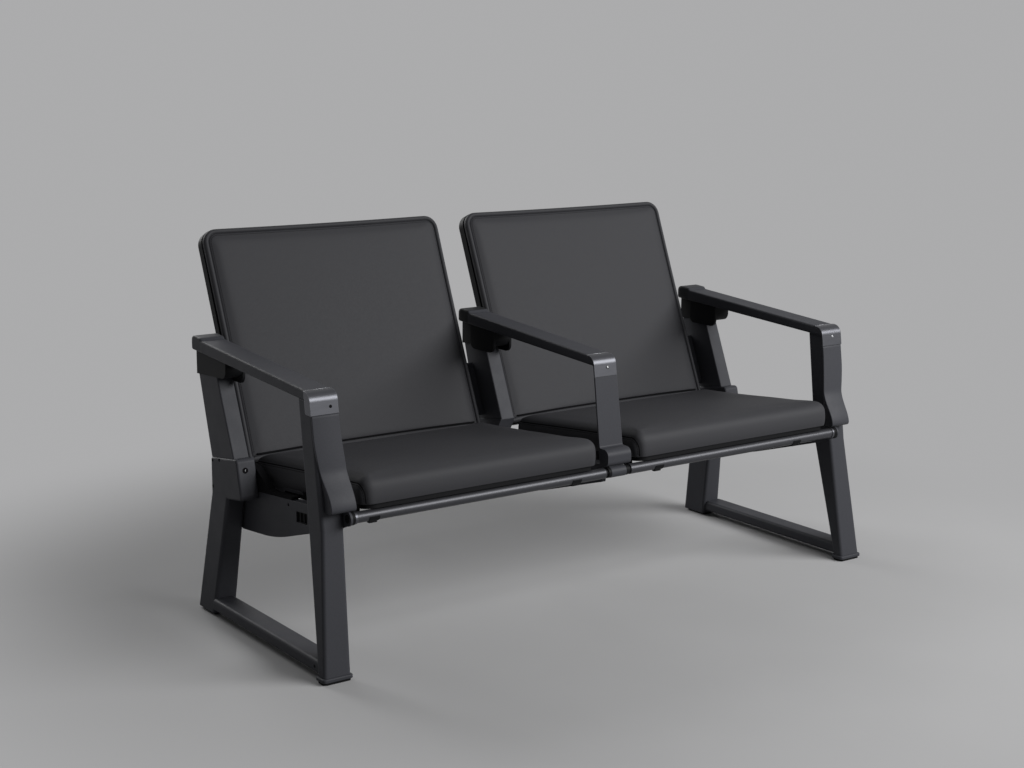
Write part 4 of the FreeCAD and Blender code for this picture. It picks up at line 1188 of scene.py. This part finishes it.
def make_floor():
    """A pale floor that keeps the shadow near the row and fades into the pale background further out."""
    paint = Paint("pale_floor")
    speckle = paint.noise(scale=3.0, detail=6.0)
    shown = paint.tint(speckle, *FLOOR)
    colour = paint.tint(seen_directly(paint), FLOOR_BOUNCE, shown)
    roughness = paint.spread(speckle, 0.8, 0.9)
    grit = paint.bump(paint.noise(scale=180.0, detail=4.0), strength=0.05, distance=0.001)
    paint.surface(colour, roughness, grit, Specular_IOR_Level=0.1)
    distance = paint.add("ShaderNodeVectorMath", operation="LENGTH")
    paint.link(paint.place, distance.inputs[0])
    fade = paint.ranged(distance.outputs["Value"], *FLOOR_FADE, 0.0, 1.0)
    fade.node.interpolation_type = "SMOOTHSTEP"
    glow = paint.add("ShaderNodeEmission")
    glow.inputs["Color"].default_value = (*PALE, 1.0)
    mix = paint.add("ShaderNodeMixShader")
    paint.link(paint.combined("MULTIPLY", fade, seen_directly(paint)), mix.inputs[0])
    paint.link(paint.shader.outputs[0], mix.inputs[1])
    paint.link(glow.outputs[0], mix.inputs[2])
    paint.link(mix.outputs[0], paint.tree.nodes["Material Output"].inputs["Surface"])
    mesh = bpy.data.meshes.new("floor")
    half = FLOOR_SIZE / 2
    corners = [(x * half, y * half, 0.0) for x, y in ((-1, -1), (1, -1), (1, 1), (-1, 1))]
    mesh.from_pydata(corners, [], [(0, 1, 2, 3)])
    mesh.materials.append(paint.material)
    floor = bpy.data.objects.new("floor", mesh)
    scene.collection.objects.link(floor)


class Sky(Paint):
    """The same short ways for the world's nodes."""

    def __init__(self, name):
        self.world = bpy.data.worlds.new(name)
        self.world.use_nodes = True
        self.tree = self.world.node_tree


def make_world():
    """Weak soft light all round, and the pale background that the camera and reflections see."""
    sky = Sky("studio")
    soft = sky.tree.nodes["Background"]
    soft.inputs["Color"].default_value = (*WHITE, 1.0)
    soft.inputs["Strength"].default_value = SOFT_LIGHT
    pale = sky.add("ShaderNodeBackground")
    pale.inputs["Color"].default_value = (*PALE, 1.0)
    mix = sky.add("ShaderNodeMixShader")
    sky.link(seen_directly(sky), mix.inputs[0])
    sky.link(soft.outputs[0], mix.inputs[1])
    sky.link(pale.outputs[0], mix.inputs[2])
    sky.link(mix.outputs[0], sky.tree.nodes["World Output"].inputs["Surface"])
    scene.world = sky.world


make_camera()
make_floor()
make_light("key", KEY_WAY, KEY_SIZE, KEY_POWER)
make_light("rear", REAR_WAY, REAR_SIZE, REAR_POWER)
make_world()
scene.view_settings.view_transform = "Standard"
